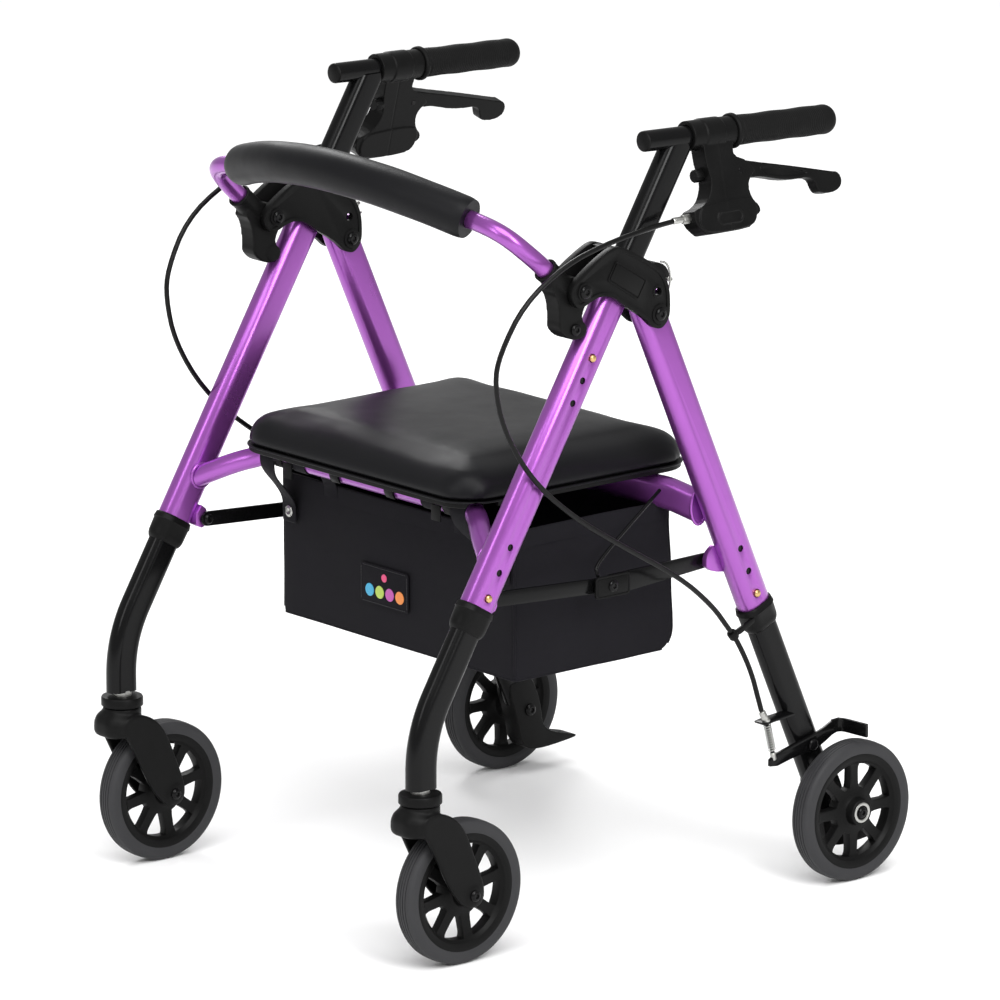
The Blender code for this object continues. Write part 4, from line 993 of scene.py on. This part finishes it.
def build_bag():
    # the levels lie closer together round the turn of the bottom edge
    levels = [BAG_FLOOR + 0.0260 * (1 - math.cos(math.radians(7.5 * i))) for i in range(13)]
    levels += [0.2880 + (BAG_FRONT_TOP - 0.2880) * i / 20 for i in range(1, 21)]
    rings = [bag_wall(z) for z in levels]
    rings.append([Vector((p.x, p.y, bag_top(p.x, p.y))) for p in rings[-1]])
    centre = []
    for scale in (0.0, 0.35, 0.7, 0.93):
        ring = []
        for point in rings[0]:
            middle = Vector((0, -0.022, BAG_FLOOR))
            spot = middle.lerp(point, max(scale, 0.02))
            spot.z = BAG_FLOOR + 0.0012 * (1 + noise.noise(Vector((spot.x * 12, spot.y * 12, 0))))
            ring.append(spot)
        centre.append(ring)
    bm = skin(centre + rings, capped=False)
    bm.faces.new(bm.verts[:len(rings[0])][::-1])
    bmesh.ops.recalc_face_normals(bm, faces=bm.faces[:])
    bag = link("bag_body", bm)
    thick = bag.modifiers.new("cloth", "SOLIDIFY")
    thick.thickness = 0.0016
    thick.offset = -1.0
    settle(bag, 50)
    bag.data.materials.append(MATS["black_fabric"])
    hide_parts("bag")
    bits = [bag]

    def add(name, bm, slot, **more):
        made = piece(name, 0, bm, None, slot, **more)
        bits.append(made)
        return made

    # bound edges: piping along the corners, the bottom and the mouth
    def piping(name, points, radius, loop=False):
        rings = []
        count = len(points)
        for i, point in enumerate(points):
            ahead = points[(i + 1) % count] if loop or i + 1 < count else point
            behind = points[i - 1] if loop or i else point
            along = (ahead - behind).normalized()
            across = along.orthogonal().normalized()
            if abs(along.z) < 0.9:
                across = along.cross(Vector((0, 0, 1))).normalized()
            up = along.cross(across)
            rings.append(placed(circle(radius, 8), point, across, up))
        add(name, skin(rings, wrap=loop), "black_fabric", angle=80)

    piping("bag_hem_top", rings[-1], 0.0015, True)
    piping("bag_hem_bottom", rings[3], 0.0011, True)
    count = len(rings[0])
    for number, index in enumerate((2, 2 + count // 4, 2 + count // 2, 2 + 3 * count // 4)):
        piping(f"bag_corner_{number}", [ring[index] for ring in rings[6:]], 0.0013)
    # stitched hem band inside the mouth
    band = []
    for drop in (0.0, 0.018):
        ring = []
        for p in rings[-1]:
            normal = Vector((p.x * 0.6, p.y + 0.02, 0)).normalized()
            ring.append(p - Vector((0, 0, drop)) + normal * 0.0007)
        band.append(ring)
    hem = add("bag_band", skin(band, capped=False), "black_fabric")
    thick = hem.modifiers.new("cloth", "SOLIDIFY")
    thick.thickness = 0.0010
    settle(hem, 50)
    # plain patch with a stitched border and five dots
    patch = rounded_rect(0.079, 0.043, 0.003, 4)
    add("bag_patch", skin([[Vector((PATCH[0] + a, y, PATCH[1] + b)) for a, b in patch]
                           for y in (-0.1338, -0.1322)]), "black_fabric", bevel=0.0004)
    border = rounded_rect(0.075, 0.039, 0.002, 3)
    sewn = []
    for number in range(len(border)):
        one = Vector(border[number])
        two = Vector(border[(number + 1) % len(border)])
        steps = max(1, round((two - one).length / 0.0032))
        for k in range(steps):
            a = one.lerp(two, (k + 0.18) / steps)
            b = one.lerp(two, (k + 0.82) / steps)
            if (b - a).length < 0.0010:
                continue
            ends = [(PATCH[0] + p.x, -0.1339, PATCH[1] + p.y) for p in (a, b)]
            sewn.append(rod(*ends, 0.00035, 6))
    thread = principled("thread grey", (0.030, 0.030, 0.032), 0.0, 0.6)
    grain(thread, 2500.0, 0.3)
    stitches = link("bag_patch_stitches", join(*sewn))
    stitches.data.materials.append(thread)
    bits.append(stitches)
    dots = (
        (-0.0400, 0.3180, 0.0070, (0.02, 0.42, 0.70)),
        (-0.0235, 0.3180, 0.0070, (0.50, 0.68, 0.08)),
        (-0.0070, 0.3180, 0.0070, (0.55, 0.06, 0.42)),
        (0.0095, 0.3180, 0.0070, (0.90, 0.26, 0.02)),
        (-0.0160, 0.3345, 0.0044, (0.85, 0.04, 0.20)),
    )
    for number, (x, z, radius, colour) in enumerate(dots):
        ink = principled(f"embroidery {number}", colour, 0.0, 0.6, sheen=0.3)
        grain(ink, 900.0, 0.5, "weave", 0.0003)
        dot = lathe(((0, radius), (0.0005, radius * 0.96)), (x, -0.1337, z), (0, -1, 0), 32)
        made = add(f"bag_patch_dot_{number}", dot, "black_fabric")
        made.data.materials.clear()
        made.data.materials.append(ink)
    # corner straps with their press studs, and the tabs round the rail
    for side in (1, -1):
        strap = ((0.1570, -0.1772, 0.4520), (0.1570, -0.1782, 0.4420), (0.1620, -0.1720, 0.4280),
                 (0.1690, -0.1500, 0.4080), (0.1735, -0.1358, 0.3920), (0.1745, -0.1338, 0.3800),
                 (0.1745, -0.1336, 0.3660))
        route = smooth([(x * side, y, z) for x, y, z in strap], 3)
        ends = [0.62 + 0.38 * min(1.0, (len(route) - 1 - i) / 3) for i in range(len(route))]
        ribbon = sweep(route, rounded_rect(0.0240, 0.0014, 0.0006, 2), scale=ends)
        add(tag("bag_strap", side), ribbon, "black_fabric", angle=60)
        stud = lathe(((0, 0.0060), (0.0010, 0.0062), (0.0018, 0.0052), (0.0019, 0.0030),
                      (0.0014, 0.0020)), (0.1745 * side, -0.1342, 0.378), (0, -1, 0), 36)
        add(tag("bag_stud", side), stud, "zinc_steel", angle=50)
        for name, x, half in (("bag_loop", 0.107, 0.011), ("bag_strap_loop", 0.157, 0.0125)):
            loop = lathe(((-half, 0.01125), (-half, 0.0123), (half, 0.0123), (half, 0.01125)),
                         (x * side, *RAIL_CENTRE), (1, 0, 0), 48, loop=True)
            piece(tag(name, side), 0, loop, "frame", "black_fabric", angle=50)
        tab = ((-0.1310, 0.4050), (-0.1315, 0.4180), (-0.1400, 0.4320), (-0.1540, 0.4375))
        tab = sweep(smooth([(0.1070 * side, y, z) for y, z in tab], 2),
                    rounded_rect(0.022, 0.0014, 0.0006, 2))
        add(tag("bag_tab", side), tab, "black_fabric", angle=60)
        slider = prism(((-0.1785, 0.4300), (-0.1770, 0.4300), (-0.1770, 0.4470), (-0.1785, 0.4470)),
                       0.115, 0.130)
        piece("bag_slider", side, slider, "frame", "black_plastic", bevel=0.0004)
    for made in bits:
        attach(made, "frame")
        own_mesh(made)


# ---------------------------------------------------------------- struts and backrest


def stadium(one, two, half_one, half_two, steps=12):
    one = Vector(one)
    two = Vector(two)
    heading = math.atan2(two.y - one.y, two.x - one.x)
    points = []
    for centre, half, start in ((two, half_two, -90), (one, half_one, 90)):
        for i in range(steps + 1):
            turn = heading + math.radians(start + 180 * i / steps)
            points.append((centre.x + half * math.cos(turn), centre.y + half * math.sin(turn)))
    return points


def build_struts(side):
    body = tag("strut_front", side) + "_bar"
    route = smooth((
        (0.2302, -0.046, 0.3620), (0.2290, -0.050, 0.3740), (0.2262, -0.0500, 0.3800),
        (0.2200, -0.020, 0.3990), (0.2100, 0.053, 0.4430),
    ), 2)
    piece("strut_bar_front", side,
          prism(stadium(STRUT_FRONT, STRUT_KNEE, 0.008, 0.008), 0.2285, 0.2320), body,
          "black_anodised", bevel=0.0008, nodes=["strut_front"])
    piece("strut_wire", side, sweep(route, circle(0.0019, 12)), body, "black_anodised",
          angle=80)
    body = tag("strut_rear", side) + "_bar"
    piece("strut_bar_rear", side,
          prism(stadium(STRUT_REAR, STRUT_KNEE, 0.008, 0.0115), 0.2325, 0.2360), body,
          "black_anodised", bevel=0.0008, nodes=["strut_rear"])
    y, z = STRUT_KNEE
    cover = [(y + a, z + b) for a, b in rounded_rect(0.047, 0.0235, 0.004, 6)]
    ring = [(y + a, z + b) for a, b in rounded_rect(0.043, 0.0195, 0.003, 6)]
    piece("strut_knee_cover", side, prism(cover, 0.2361, 0.2384), body, "black_plastic",
          cut(channel(ring, 0.0, 0.0008, 0.2379, 0.2390)), bevel=0.0006)
    dome_screw("strut_knee_bolt", side, y, z, 0.2383, 0.0062, 0.0026, body)


def bow(x):
    share = 1 - (x / PAD_HALF) ** 2
    return (x, -0.1852 - 0.0368 * share, 0.7583 + 0.0281 * share)


def build_backrest():
    end = [(0.25, -0.118, 0.690), (0.25, -0.1440, 0.7144), (0.247, -0.160, 0.7285)]
    end += [(0.240, -0.1765, 0.744), (0.225, -0.184, 0.7525), (0.205, -0.186, 0.7565)]
    arc = [Vector(bow(PAD_HALF * (1 - i / 12))) for i in range(13)]
    half = smooth([Vector(p) for p in end] + arc[:1], 3) + arc[1:]
    route = both_sides([tuple(p) for p in half])
    piece("backrest_tube", 0, sweep(route, circle(0.0095, 28), side=(0, 0, 1)), "backrest",
          "purple_paint", angle=60, nodes=["backrest_bar"])
    path = [Vector(bow(PAD_HALF * (1 - i / 48))) for i in range(97)]
    rings = []
    inner = []
    for i, point in enumerate(path):
        ahead = (path[min(i + 1, 96)] - path[max(i - 1, 0)]).normalized()
        up = (Vector((0, 0, 1)) - ahead * ahead.z).normalized()
        across = ahead.cross(up)
        edge = min(i, 96 - i)
        size = 1.0 if edge >= 2 else (0.945, 0.985)[edge]
        ring = []
        for a, b in circle(1.0, 48):
            radius = 0.0219 * size
            radius += 0.00045 * noise.noise(Vector((point.x * 22, a * 1.3, b * 1.3)))
            ring.append(point + up * a * radius + across * b * radius)
        rings.append(ring)
        inner.append(placed(circle(0.0098, 48), point, up, across))
    pad = piece("foam_pad", 0, skin(rings + inner[::-1], wrap=True), "backrest", "black_foam",
                angle=50, nodes=["backrest_pad"])
    outline = rounded((
        (-0.1386, 0.6905), (-0.1306, 0.679), (-0.1278, 0.658), (-0.129, 0.6477),
        (-0.121, 0.639), (-0.1117, 0.6348), (-0.1036, 0.6337), (-0.0970, 0.6360),
        (-0.0940, 0.6430), (-0.0975, 0.6520), (-0.0985, 0.660), (-0.092, 0.672), (-0.0895, 0.684),
        (-0.094, 0.695), (-0.104, 0.6990), (-0.116, 0.700), (-0.128, 0.707),
    ), 1)
    mouth = Vector((0.25, -0.1400, 0.7107))
    heel = Vector((0.25, -0.1165, 0.6886))
    along = (mouth - heel).normalized()
    for side in (1, -1):
        socket = lathe(((-0.004, 0.0126), (0.028, 0.0126), (0.0295, 0.0132), (0.0322, 0.0132)),
                       heel, along, 40)
        bore = rod(heel, mouth + along * 0.01, 0.0099, 32)
        piece(
            "clamp_body", side, prism(outline, 0.2392, 0.2608), "backrest",
            "black_plastic", fuse(socket),
            fuse(x_rod(-0.1012, 0.6437, 0.2385, 0.2615, 0.0089)), cut(bore),
            voxel=0.0011, soften=3, nodes=["backrest_clamp"],
        )
        dome_screw("clamp_screw", side, -0.1080, 0.6450, 0.2612, 0.0062, 0.0030, "backrest")


# ---------------------------------------------------------------- handles


def knurled(radii, x, z, levels):
    """A short solid along Y with these radii round it; each level is a y and a share of them."""
    outline = []
    for k, radius in enumerate(radii):
        turn = 2 * math.pi * k / len(radii)
        outline.append((radius * math.cos(turn), radius * math.sin(turn)))
    return skin([[Vector((x + a * size, y, z + b * size)) for a, b in outline]
                 for y, size in levels])


def build_handle(side):
    body = tag("handle", side)
    direction = T_BAR_REAR - T_BAR_FRONT
    start = t_bar(-0.008)
    length = (t_bar(0.2365) - start).length
    bar = lathe(((0.0002, 0.0098), (0.0010, 0.0108), (0.0022, 0.0110), (length, 0.0110)), start,
                direction, 40)
    piece("t_bar", side, bar, body, "black_anodised", angle=40)
    cap = lathe(((-0.0014, 0.0094), (-0.0004, 0.0106), (0.0010, 0.0109)), start, direction, 40)
    piece("t_bar_cap", side, cap, body, "black_plastic", angle=40)
    # grip: flange, then fine raised rings, then a rounded end
    start = t_bar(0.1080)
    tip = (T_BAR_REAR - start).length
    profile = [(0, 0.0120), (0, 0.0172), (0.0012, 0.0184), (0.0040, 0.0186), (0.0056, 0.0176),
               (0.0068, 0.0152), (0.0085, 0.0150)]
    distance = 0.0100
    while distance < tip - 0.020:
        swell_here = 0.0003 * math.sin(distance * 140)
        profile += [(distance, 0.0153 + swell_here), (distance + 0.0006, 0.0156 + swell_here),
                    (distance + 0.0018, 0.0156 + swell_here)]
        distance += 0.0026
    for i in range(9):
        turn = math.radians(90 * i / 8)
        profile.append((tip - 0.012 + 0.012 * math.sin(turn), 0.0045 + 0.0112 * math.cos(turn)))
    piece("hand_grip", side, lathe(profile, start, direction, 56), body, "black_rubber",
          angle=45, nodes=["grip"])
    # brake housing, moulded round its clamp
    outline = rounded(HOUSING_OUTLINE, 1)
    core = moved(prism(outline, -0.0106, 0.0106), BRAKE_FRAME)
    belly = moved(
        prism(rounded(((0.040, -0.0800), (0.050, -0.0740), (0.108, -0.0720), (0.118, -0.0800),
                       (0.116, -0.0960), (0.106, -0.1040), (0.050, -0.1040), (0.038, -0.0960)), 2),
              -0.0122, 0.0122), BRAKE_FRAME)
    clamp = rod(t_bar(0.049), t_bar(0.1070), 0.0158, 40)
    band = rod(t_bar(0.0665), t_bar(0.0905), 0.0168, 40)
    bore = rod(t_bar(0.020), t_bar(0.130), 0.0112, 32)
    slot = moved(box(-0.0081, 0.0081, 0.0890, 0.145, -0.064, -0.022), BRAKE_FRAME)
    line = moved(join(
        box(0.0099, 0.0140, 0.0790, 0.0800, -0.1100, -0.0120),
        box(-0.0140, -0.0099, 0.0790, 0.0800, -0.1100, -0.0120),
    ), BRAKE_FRAME)
    badge = stadium((0.0690, -0.0900), (0.0900, -0.0900), 0.0068, 0.0068, 12)
    oval = moved(prism(badge, 0.0115, 0.0134), BRAKE_FRAME)
    sunk = moved(prism(inset(badge, 0.0014), 0.0124, 0.0140), BRAKE_FRAME)
    piece(
        "brake_body", side, core, body, "black_plastic", fuse(belly),
        fuse(clamp), fuse(band), cut(bore), cut(slot), cut(line), fuse(oval), cut(sunk),
        voxel=0.00075, soften=2, nodes=["brake_housing"],
    )
    radii = [0.0070 - 0.0004 * (0.5 + 0.5 * math.cos(2 * math.pi * k / 72 * 12)) for k in range(72)]
    knob = knurled(radii, -0.0045, -0.0433,
                   ((0.0528, 0.86), (0.0540, 1.0), (0.0620, 1.0), (0.0640, 0.9)))
    piece("clamp_knob", side, moved(knob, BRAKE_FRAME), body, "black_plastic", angle=50)
    at = (0, 0.0112, -0.0848)
    ferrule = lathe(((0, 0.0030), (0.0010, 0.0036), (0.0120, 0.0036), (0.0130, 0.0028)), at,
                    (0, 1, 0), 28)
    piece("cable_ferrule_top", side, moved(ferrule, BRAKE_FRAME), body, "zinc_steel")
    barrel = knurled([0.0050 - 0.0003 * (k % 2) for k in range(64)], 0.0, -0.0848,
                     ((0.0242, 0.8), (0.0250, 1.0), (0.0340, 1.0), (0.0346, 0.8)))
    piece("barrel_adjuster", side, moved(barrel, BRAKE_FRAME), body, "zinc_steel", angle=20)
    nut = lathe(((0.0232, 0.0050), (0.0272, 0.0050)), at, (0, 1, 0), 6)
    piece("barrel_nut", side, moved(nut, BRAKE_FRAME), body, "zinc_steel", bevel=0.0004)
    # lever
    pivot = (0.105, -0.045)
    blade = moved(prism(rounded(LEVER_OUTLINE, 1), -0.0068, 0.0068), BRAKE_FRAME)
    eye = moved(x_rod(*pivot, -0.012, 0.012, 0.0024, 24), BRAKE_FRAME)
    hollow = moved(prism(inset(rounded(((0.134, -0.0425), (0.200, -0.0560), (0.196, -0.0612),
                                        (0.162, -0.0588), (0.136, -0.0515)), 1), 0.0004),
                         0.0050, 0.0080), BRAKE_FRAME)
    piece("lever_blade", side, blade, tag("brake_lever", side) + "_body", "black_plastic",
          cut(eye), cut(hollow), voxel=0.0008, soften=5,
          nodes=["brake_lever"])
    pin = moved(lathe(((-0.0112, 0.0026), (-0.0108, 0.0030), (0.0108, 0.0030), (0.0112, 0.0026)),
                      (0, *pivot), (1, 0, 0), 24), BRAKE_FRAME)
    piece("lever_pin", side, pin, body, "black_anodised")


# ---------------------------------------------------------------- wheels


def wheel(name, side, centre, body, phase, bearing):
    face = [
        (0.0112, 0.0624), (0.0108, 0.0580), (0.0098, 0.0545), (0.0062, 0.0515), (0.0050, 0.0480),
        (0.0050, 0.0290), (0.0060, 0.0200), (0.0085, 0.0152), (0.0170, 0.0140), (0.0180, 0.0130),
    ]
    profile = [(-0.0180, 0.0058)] + [(-x, r) for x, r in face[::-1]] + face
    profile += [(0.0180, 0.0112), (0.0155, 0.0110), (0.0155, 0.0058)]
    windows = []
    for number in range(8):
        middle = 2 * math.pi * (number + 0.5) / 8 + phase
        points = []
        rim = [1 - 2 * i / 6 for i in range(7)]
        inside = (-1, -0.4, 0.4, 1)
        for radius, half_spoke, shares in ((0.0510, 0.0052, rim), (0.0260, 0.0058, inside)):
            turn = math.pi / 8 - half_spoke / radius
            points += [(radius, middle + share * turn) for share in shares]
        outline = [(centre.y + r * math.cos(a), centre.z + r * math.sin(a)) for r, a in points]
        windows.append(prism(rounded(outline, 1), centre.x - 0.02, centre.x + 0.02))
    piece(
        f"{name}_wheel_disc", side, lathe(profile, centre, (1, 0, 0), 96, loop=True), body,
        "black_plastic", cut(join(*windows)), bevel=0.0006, nodes=[f"{name}_hub"],
    )
    wall = [(0.0085, 0.0757), (0.0106, 0.0746), (0.0120, 0.0725), (0.0124, 0.0690),
            (0.0120, 0.0650), (0.0112, 0.0624)]
    tread = [(-x, r) for x, r in wall[::-1]]
    for x in (-0.0056, -0.0019, 0.0019, 0.0056):
        crown = WHEEL_RADIUS - 0.0004 * (abs(x) / 0.006) ** 2
        tread += [(x - 0.0007, crown), (x - 0.0004, crown - 0.0009), (x + 0.0004, crown - 0.0009),
                  (x + 0.0007, crown)]
    piece(f"{name}_tread", side, lathe(tread + wall, centre, (1, 0, 0), 128, loop=True), body,
          "grey_tyre", angle=35, nodes=[f"{name}_tyre"])
    if bearing:
        ring = ((0.0158, 0.0076), (0.0182, 0.0078), (0.0186, 0.0084), (0.0186, 0.0104),
                (0.0182, 0.0110), (0.0158, 0.0111))
        piece(f"{name}_bearing", side, lathe(ring, centre, (1, 0, 0), 48, loop=True), body,
              "zinc_steel", angle=40)
        seal = lathe(((0.0160, 0.0051), (0.0176, 0.0052), (0.0176, 0.0078), (0.0160, 0.0078)),
                     centre, (1, 0, 0), 48, loop=True)
        piece(f"{name}_bearing_seal", side, seal, body, "black_rubber")


def build_caster(side):
    x, y = CASTER_STEM
    body = tag("caster", side)
    half = FORK_GAP + FORK_THICK
    outline = rounded(FORK_OUTLINE, 2)
    arms = join(prism(outline, x + FORK_GAP, x + half), prism(outline, x - half, x - FORK_GAP))
    rings = []
    for z, gap in ((0.1470, 0.0035), (0.1490, 0.0010), (0.1530, 0.0), (0.1620, 0.0004),
                   (0.1680, 0.0025), (0.1725, 0.0065), (0.1765, 0.0120)):
        width = 2 * (half - gap)
        depth = 0.0440 - gap
        ring = rounded_rect(width, depth, 0.019 - gap * 0.6, 8)
        rings.append([Vector((x + a, CROWN_FRONT + gap + depth / 2 + b, z)) for a, b in ring])
    neck = lathe(((0, 0.0195), (0.0120, 0.0204), (0.0270, 0.0206)), (x, y, 0.1510), (0, 0, 1), 48)
    top = lathe(((0, 0.0214), (0.0010, 0.0225), (0.0090, 0.0225), (0.0105, 0.0216),
                 (0.0112, 0.0180), (0.0112, 0.0112)), (x, y, 0.1784), (0, 0, 1), 56)
    axle = join(
        x_rod(*CASTER_WHEEL.yz, x + FORK_GAP - 0.0002, x + half + 0.0012, 0.0098, 32),
        x_rod(*CASTER_WHEEL.yz, x - half - 0.0012, x - FORK_GAP + 0.0002, 0.0098, 32),
    )
    piece(
        "fork_body", side, skin(rings), body, "black_plastic", fuse(neck),
        fuse(arms), fuse(axle), voxel=0.0012, soften=20, nodes=["caster_fork"],
    )
    piece("stem_cap", side, top, body, "black_plastic", angle=40)
    for sign, end in ((1, "out"), (-1, "in")):
        dome_screw(f"fork_screw_{end}", side, *CASTER_WHEEL.yz,
                   x + sign * (half + 0.0010), 0.0062, 0.0038, body, sign)
    shaft = x_rod(*CASTER_WHEEL.yz, x - FORK_GAP, x + FORK_GAP, 0.0040)
    piece("fork_axle", side, shaft, body, "zinc_steel")
    wheel("caster", side, CASTER_WHEEL, tag("caster_wheel", side), math.radians(10), False)


def build_rear_foot(side):
    body = tag("rear_lower", side)
    boot = rounded((
        (0.2270, 0.1060), (0.2390, 0.0700), (0.2430, 0.0520), (0.2460, 0.0400), (0.2560, 0.0300),
        (0.2800, 0.0285), (0.3230, 0.0325), (0.3262, 0.0345), (0.3240, 0.0365), (0.2950, 0.0430),
        (0.2770, 0.0530), (0.2735, 0.0800), (0.2640, 0.1060), (0.2570, 0.1150), (0.2350, 0.1110),
    ), 2)
    grooves = [
        box(0.2400, 0.2600, 0.2960 + 0.0060 * i, 0.2975 + 0.0060 * i, 0.0400 - 0.0013 * i, 0.0600)
        for i in range(4)
    ]
    piece("foot_boot", side, prism(boot, 0.2378, 0.2622), body, "black_plastic",
          cut(join(*grooves)), bevel=0.0012, segments=3)
    spacer = lathe(((0, 0.0070), (0.0006, 0.0078), (0.0066, 0.0078), (0.0072, 0.0070)),
                   (0.2621, *REAR_WHEEL.yz), (1, 0, 0), 36)
    piece("axle_spacer", side, spacer, body, "zinc_steel")
    axle = lathe(((0, 0.0050), (0.0450, 0.0050), (0.0464, 0.0042)),
                 (0.2600, *REAR_WHEEL.yz), (1, 0, 0), 32)
    piece("axle", side, axle, body, "black_anodised", bevel=0.0003)
    dome_screw("axle_end", side, *REAR_WHEEL.yz, 0.3050, 0.0058, 0.0030, body)
    dome_screw("axle_bolt", side, *REAR_WHEEL.yz, 0.2378, 0.0070, 0.0042, body, -1)
    wheel("rear", side, REAR_WHEEL, tag("rear_wheel", side), 0.0, True)
    bracket = ((0.1470, 0.1842), (0.1600, 0.1860), (0.1900, 0.1880), (0.1890, 0.1910),
               (0.1595, 0.1888), (0.1460, 0.1868))
    piece("cable_stop", side, prism(bracket, 0.2560, 0.2725), body, "black_anodised",
          bevel=0.0006)
    ferrule = lathe(
        ((0, 0.0031), (0.0010, 0.0038), (0.0110, 0.0038), (0.0114, 0.0046), (0.0135, 0.0046),
         (0.0139, 0.0034), (0.0150, 0.0030)),
        (0.2668, 0.1470, 0.1992), (0.001, 0.0063, -0.0124), 28,
    )
    piece("cable_ferrule_low", side, ferrule, body, "zinc_steel", angle=40)
    y, z = ARM_PIVOT
    pin = lathe(((0, 0.0035), (0.0066, 0.0035), (0.0066, 0.0062), (0.0086, 0.0062),
                 (0.0096, 0.0050)), (0.2608, y, z), (1, 0, 0), 32)
    piece("arm_pin", side, pin, body, "black_anodised", bevel=0.0003)
    arm_body = tag("brake_arm", side) + "_body"
    outline = rounded((
        (0.160, 0.1325), (0.203, 0.1418), (0.221, 0.1415), (0.240, 0.1500), (0.252, 0.1568),
        (0.2642, 0.1570), (0.2642, 0.1720), (0.252, 0.1715), (0.233, 0.1630), (0.216, 0.1590),
        (0.190, 0.1535), (0.160, 0.1465),
    ), 1)
    piece("arm_bar", side, prism(outline, 0.2628, 0.2668), arm_body, "black_anodised",
          cut(x_rod(y, z, 0.26, 0.27, 0.0038)), bevel=0.0007, nodes=["brake_arm"])
    route = smooth([(0.2648, 0.2500, 0.1642), (0.2655, 0.2600, 0.1645), (0.2720, 0.2632, 0.1645),
                    (0.2880, 0.2640, 0.1645), (0.3030, 0.2652, 0.1645)], 2)
    shoe = sweep(route, rounded_rect(0.0148, 0.0038, 0.0010, 3), side=(0, 0, 1))
    piece("brake_shoe", side, shoe, arm_body, "black_anodised", angle=50)
    # return spring and inner wire between the cable stop and the arm
    top = Vector((0.2672, 0.1538, 0.1862))
    end = Vector((0.2650, 0.1655, 0.1480))
    axis = (end - top).normalized()
    pitch = ((end - top).length - 0.008) / 11
    coil = helix(top + axis * 0.002, axis, axis.orthogonal().normalized(), pitch, 11, 0.0037)
    spring = piece("return_spring", side, sweep(coil, circle(0.0006, 8)), None, "zinc_steel",
                   angle=80)
    wire = piece("brake_wire", side, rod(top, end, 0.0022, 16), None, "black_plastic", angle=80)
    for made in (spring, wire):
        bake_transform(made)
    clevis = lathe(((0, 0.0026), (0.0008, 0.0032), (0.0085, 0.0032), (0.0092, 0.0026)),
                   end - axis * 0.0030, axis, 24)
    piece("wire_clevis", side, clevis, arm_body, "zinc_steel", bevel=0.0003)


# ---------------------------------------------------------------- cables


def build_cable(side):
    route = smooth(CABLE_ROUTE, 2)
    cuts = (
        ("cable_top", 0.0, 0.345, tag("handle", side), "frame", (0.2712, -0.0340, 0.7400),
         (0.2700, -0.2190, 0.6367)),
        ("cable_middle", 0.345, 0.80, "frame", "rear_frame", (0.2700, -0.1763, 0.5020),
         (0.2625, 0.1025, 0.2965)),
        ("cable_low", 0.80, 1.0, "rear_frame", tag("rear_lower", side), (0.2622, 0.1170, 0.2786),
         (0.2665, 0.1425, 0.2130)),
    )
    lengths = [0.0]
    for one, two in zip(route, route[1:]):
        lengths.append(lengths[-1] + (two - one).length)
    total = lengths[-1]
    for name, low, high, body_a, body_b, start, end in cuts:
        part = []
        steps = 70 if name != "cable_low" else 30
        for i in range(steps + 1):
            want = total * (low + (high - low) * i / steps)
            at = max(j for j, value in enumerate(lengths) if value <= want + 1e-9)
            at = min(at, len(route) - 2)
            share = (want - lengths[at]) / (lengths[at + 1] - lengths[at])
            part.append(route[at].lerp(route[at + 1], share))
        nodes = ["brake_cable"] if name == "cable_top" else []
        made = piece(name, side, sweep(part, circle(0.00275, 16)), None, "cable_sheath",
                     angle=80, nodes=nodes)
        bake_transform(made)


# ---------------------------------------------------------------- stage


def build_stage():
    paper = principled("paper", (0.94, 0.94, 0.94), 0.0, 0.9, specular=0.1)
    grain(paper, 60.0, 0.02)
    mesh = bpy.data.meshes.new("floor")
    mesh.from_pydata([(-60, -60, 0), (60, -60, 0), (60, 60, 0), (-60, 60, 0)], [], [(0, 1, 2, 3)])
    floor = bpy.data.objects.new("floor", mesh)
    floor.data.materials.append(paper)
    bpy.context.collection.objects.link(floor)
    world = bpy.data.worlds.new("studio")
    bpy.context.scene.world = world
    world.use_nodes = True
    world.node_tree.nodes["Background"].inputs["Color"].default_value = (1.0, 1.0, 1.0, 1.0)
    world.node_tree.nodes["Background"].inputs["Strength"].default_value = 0.50
    data = bpy.data.lights.new("sky", "SUN")
    data.energy = 2.1
    data.angle = math.radians(50)
    lamp = bpy.data.objects.new("sky", data)
    lamp.rotation_euler = (math.radians(20), math.radians(24), 0)
    bpy.context.collection.objects.link(lamp)
    lamps = (
        ("key", (3.4, -0.6, 2.4), 2.0, 75.0), ("front", (0.2, -3.6, 2.2), 1.6, 22.0),
        ("rim", (-2.6, 1.2, 2.6), 1.6, 45.0),
    )
    for name, spot, size, power in lamps:
        data = bpy.data.lights.new(name, "AREA")
        data.shape = "RECTANGLE"
        data.size = size * 0.6
        data.size_y = size
        data.energy = power
        lamp = bpy.data.objects.new(name, data)
        lamp.location = spot
        aim = Vector((0, 0, 0.45)) - Vector(spot)
        lamp.rotation_euler = aim.to_track_quat("-Z", "Y").to_euler()
        bpy.context.collection.objects.link(lamp)
    camera = bpy.data.cameras.new("camera")
    camera.lens = 271.28
    camera.sensor_width = 36.0
    camera.clip_end = 200.0
    eye = bpy.data.objects.new("camera", camera)
    eye.location = (5.92707, -5.00548, 2.29149)
    eye.rotation_euler = (math.radians(90 - 13.6925), 0.0, math.radians(49.7488))
    bpy.context.collection.objects.link(eye)
    bpy.context.scene.camera = eye
    bpy.context.scene.view_settings.view_transform = "Standard"


def main():
    build_rails()
    build_seat()
    build_bag()
    build_backrest()
    for side in (1, -1):
        build_legs(side)
        build_collars(side)
        build_hub(side)
        build_struts(side)
        build_handle(side)
        build_caster(side)
        build_rear_foot(side)
        build_cable(side)
    build_stage()


main()
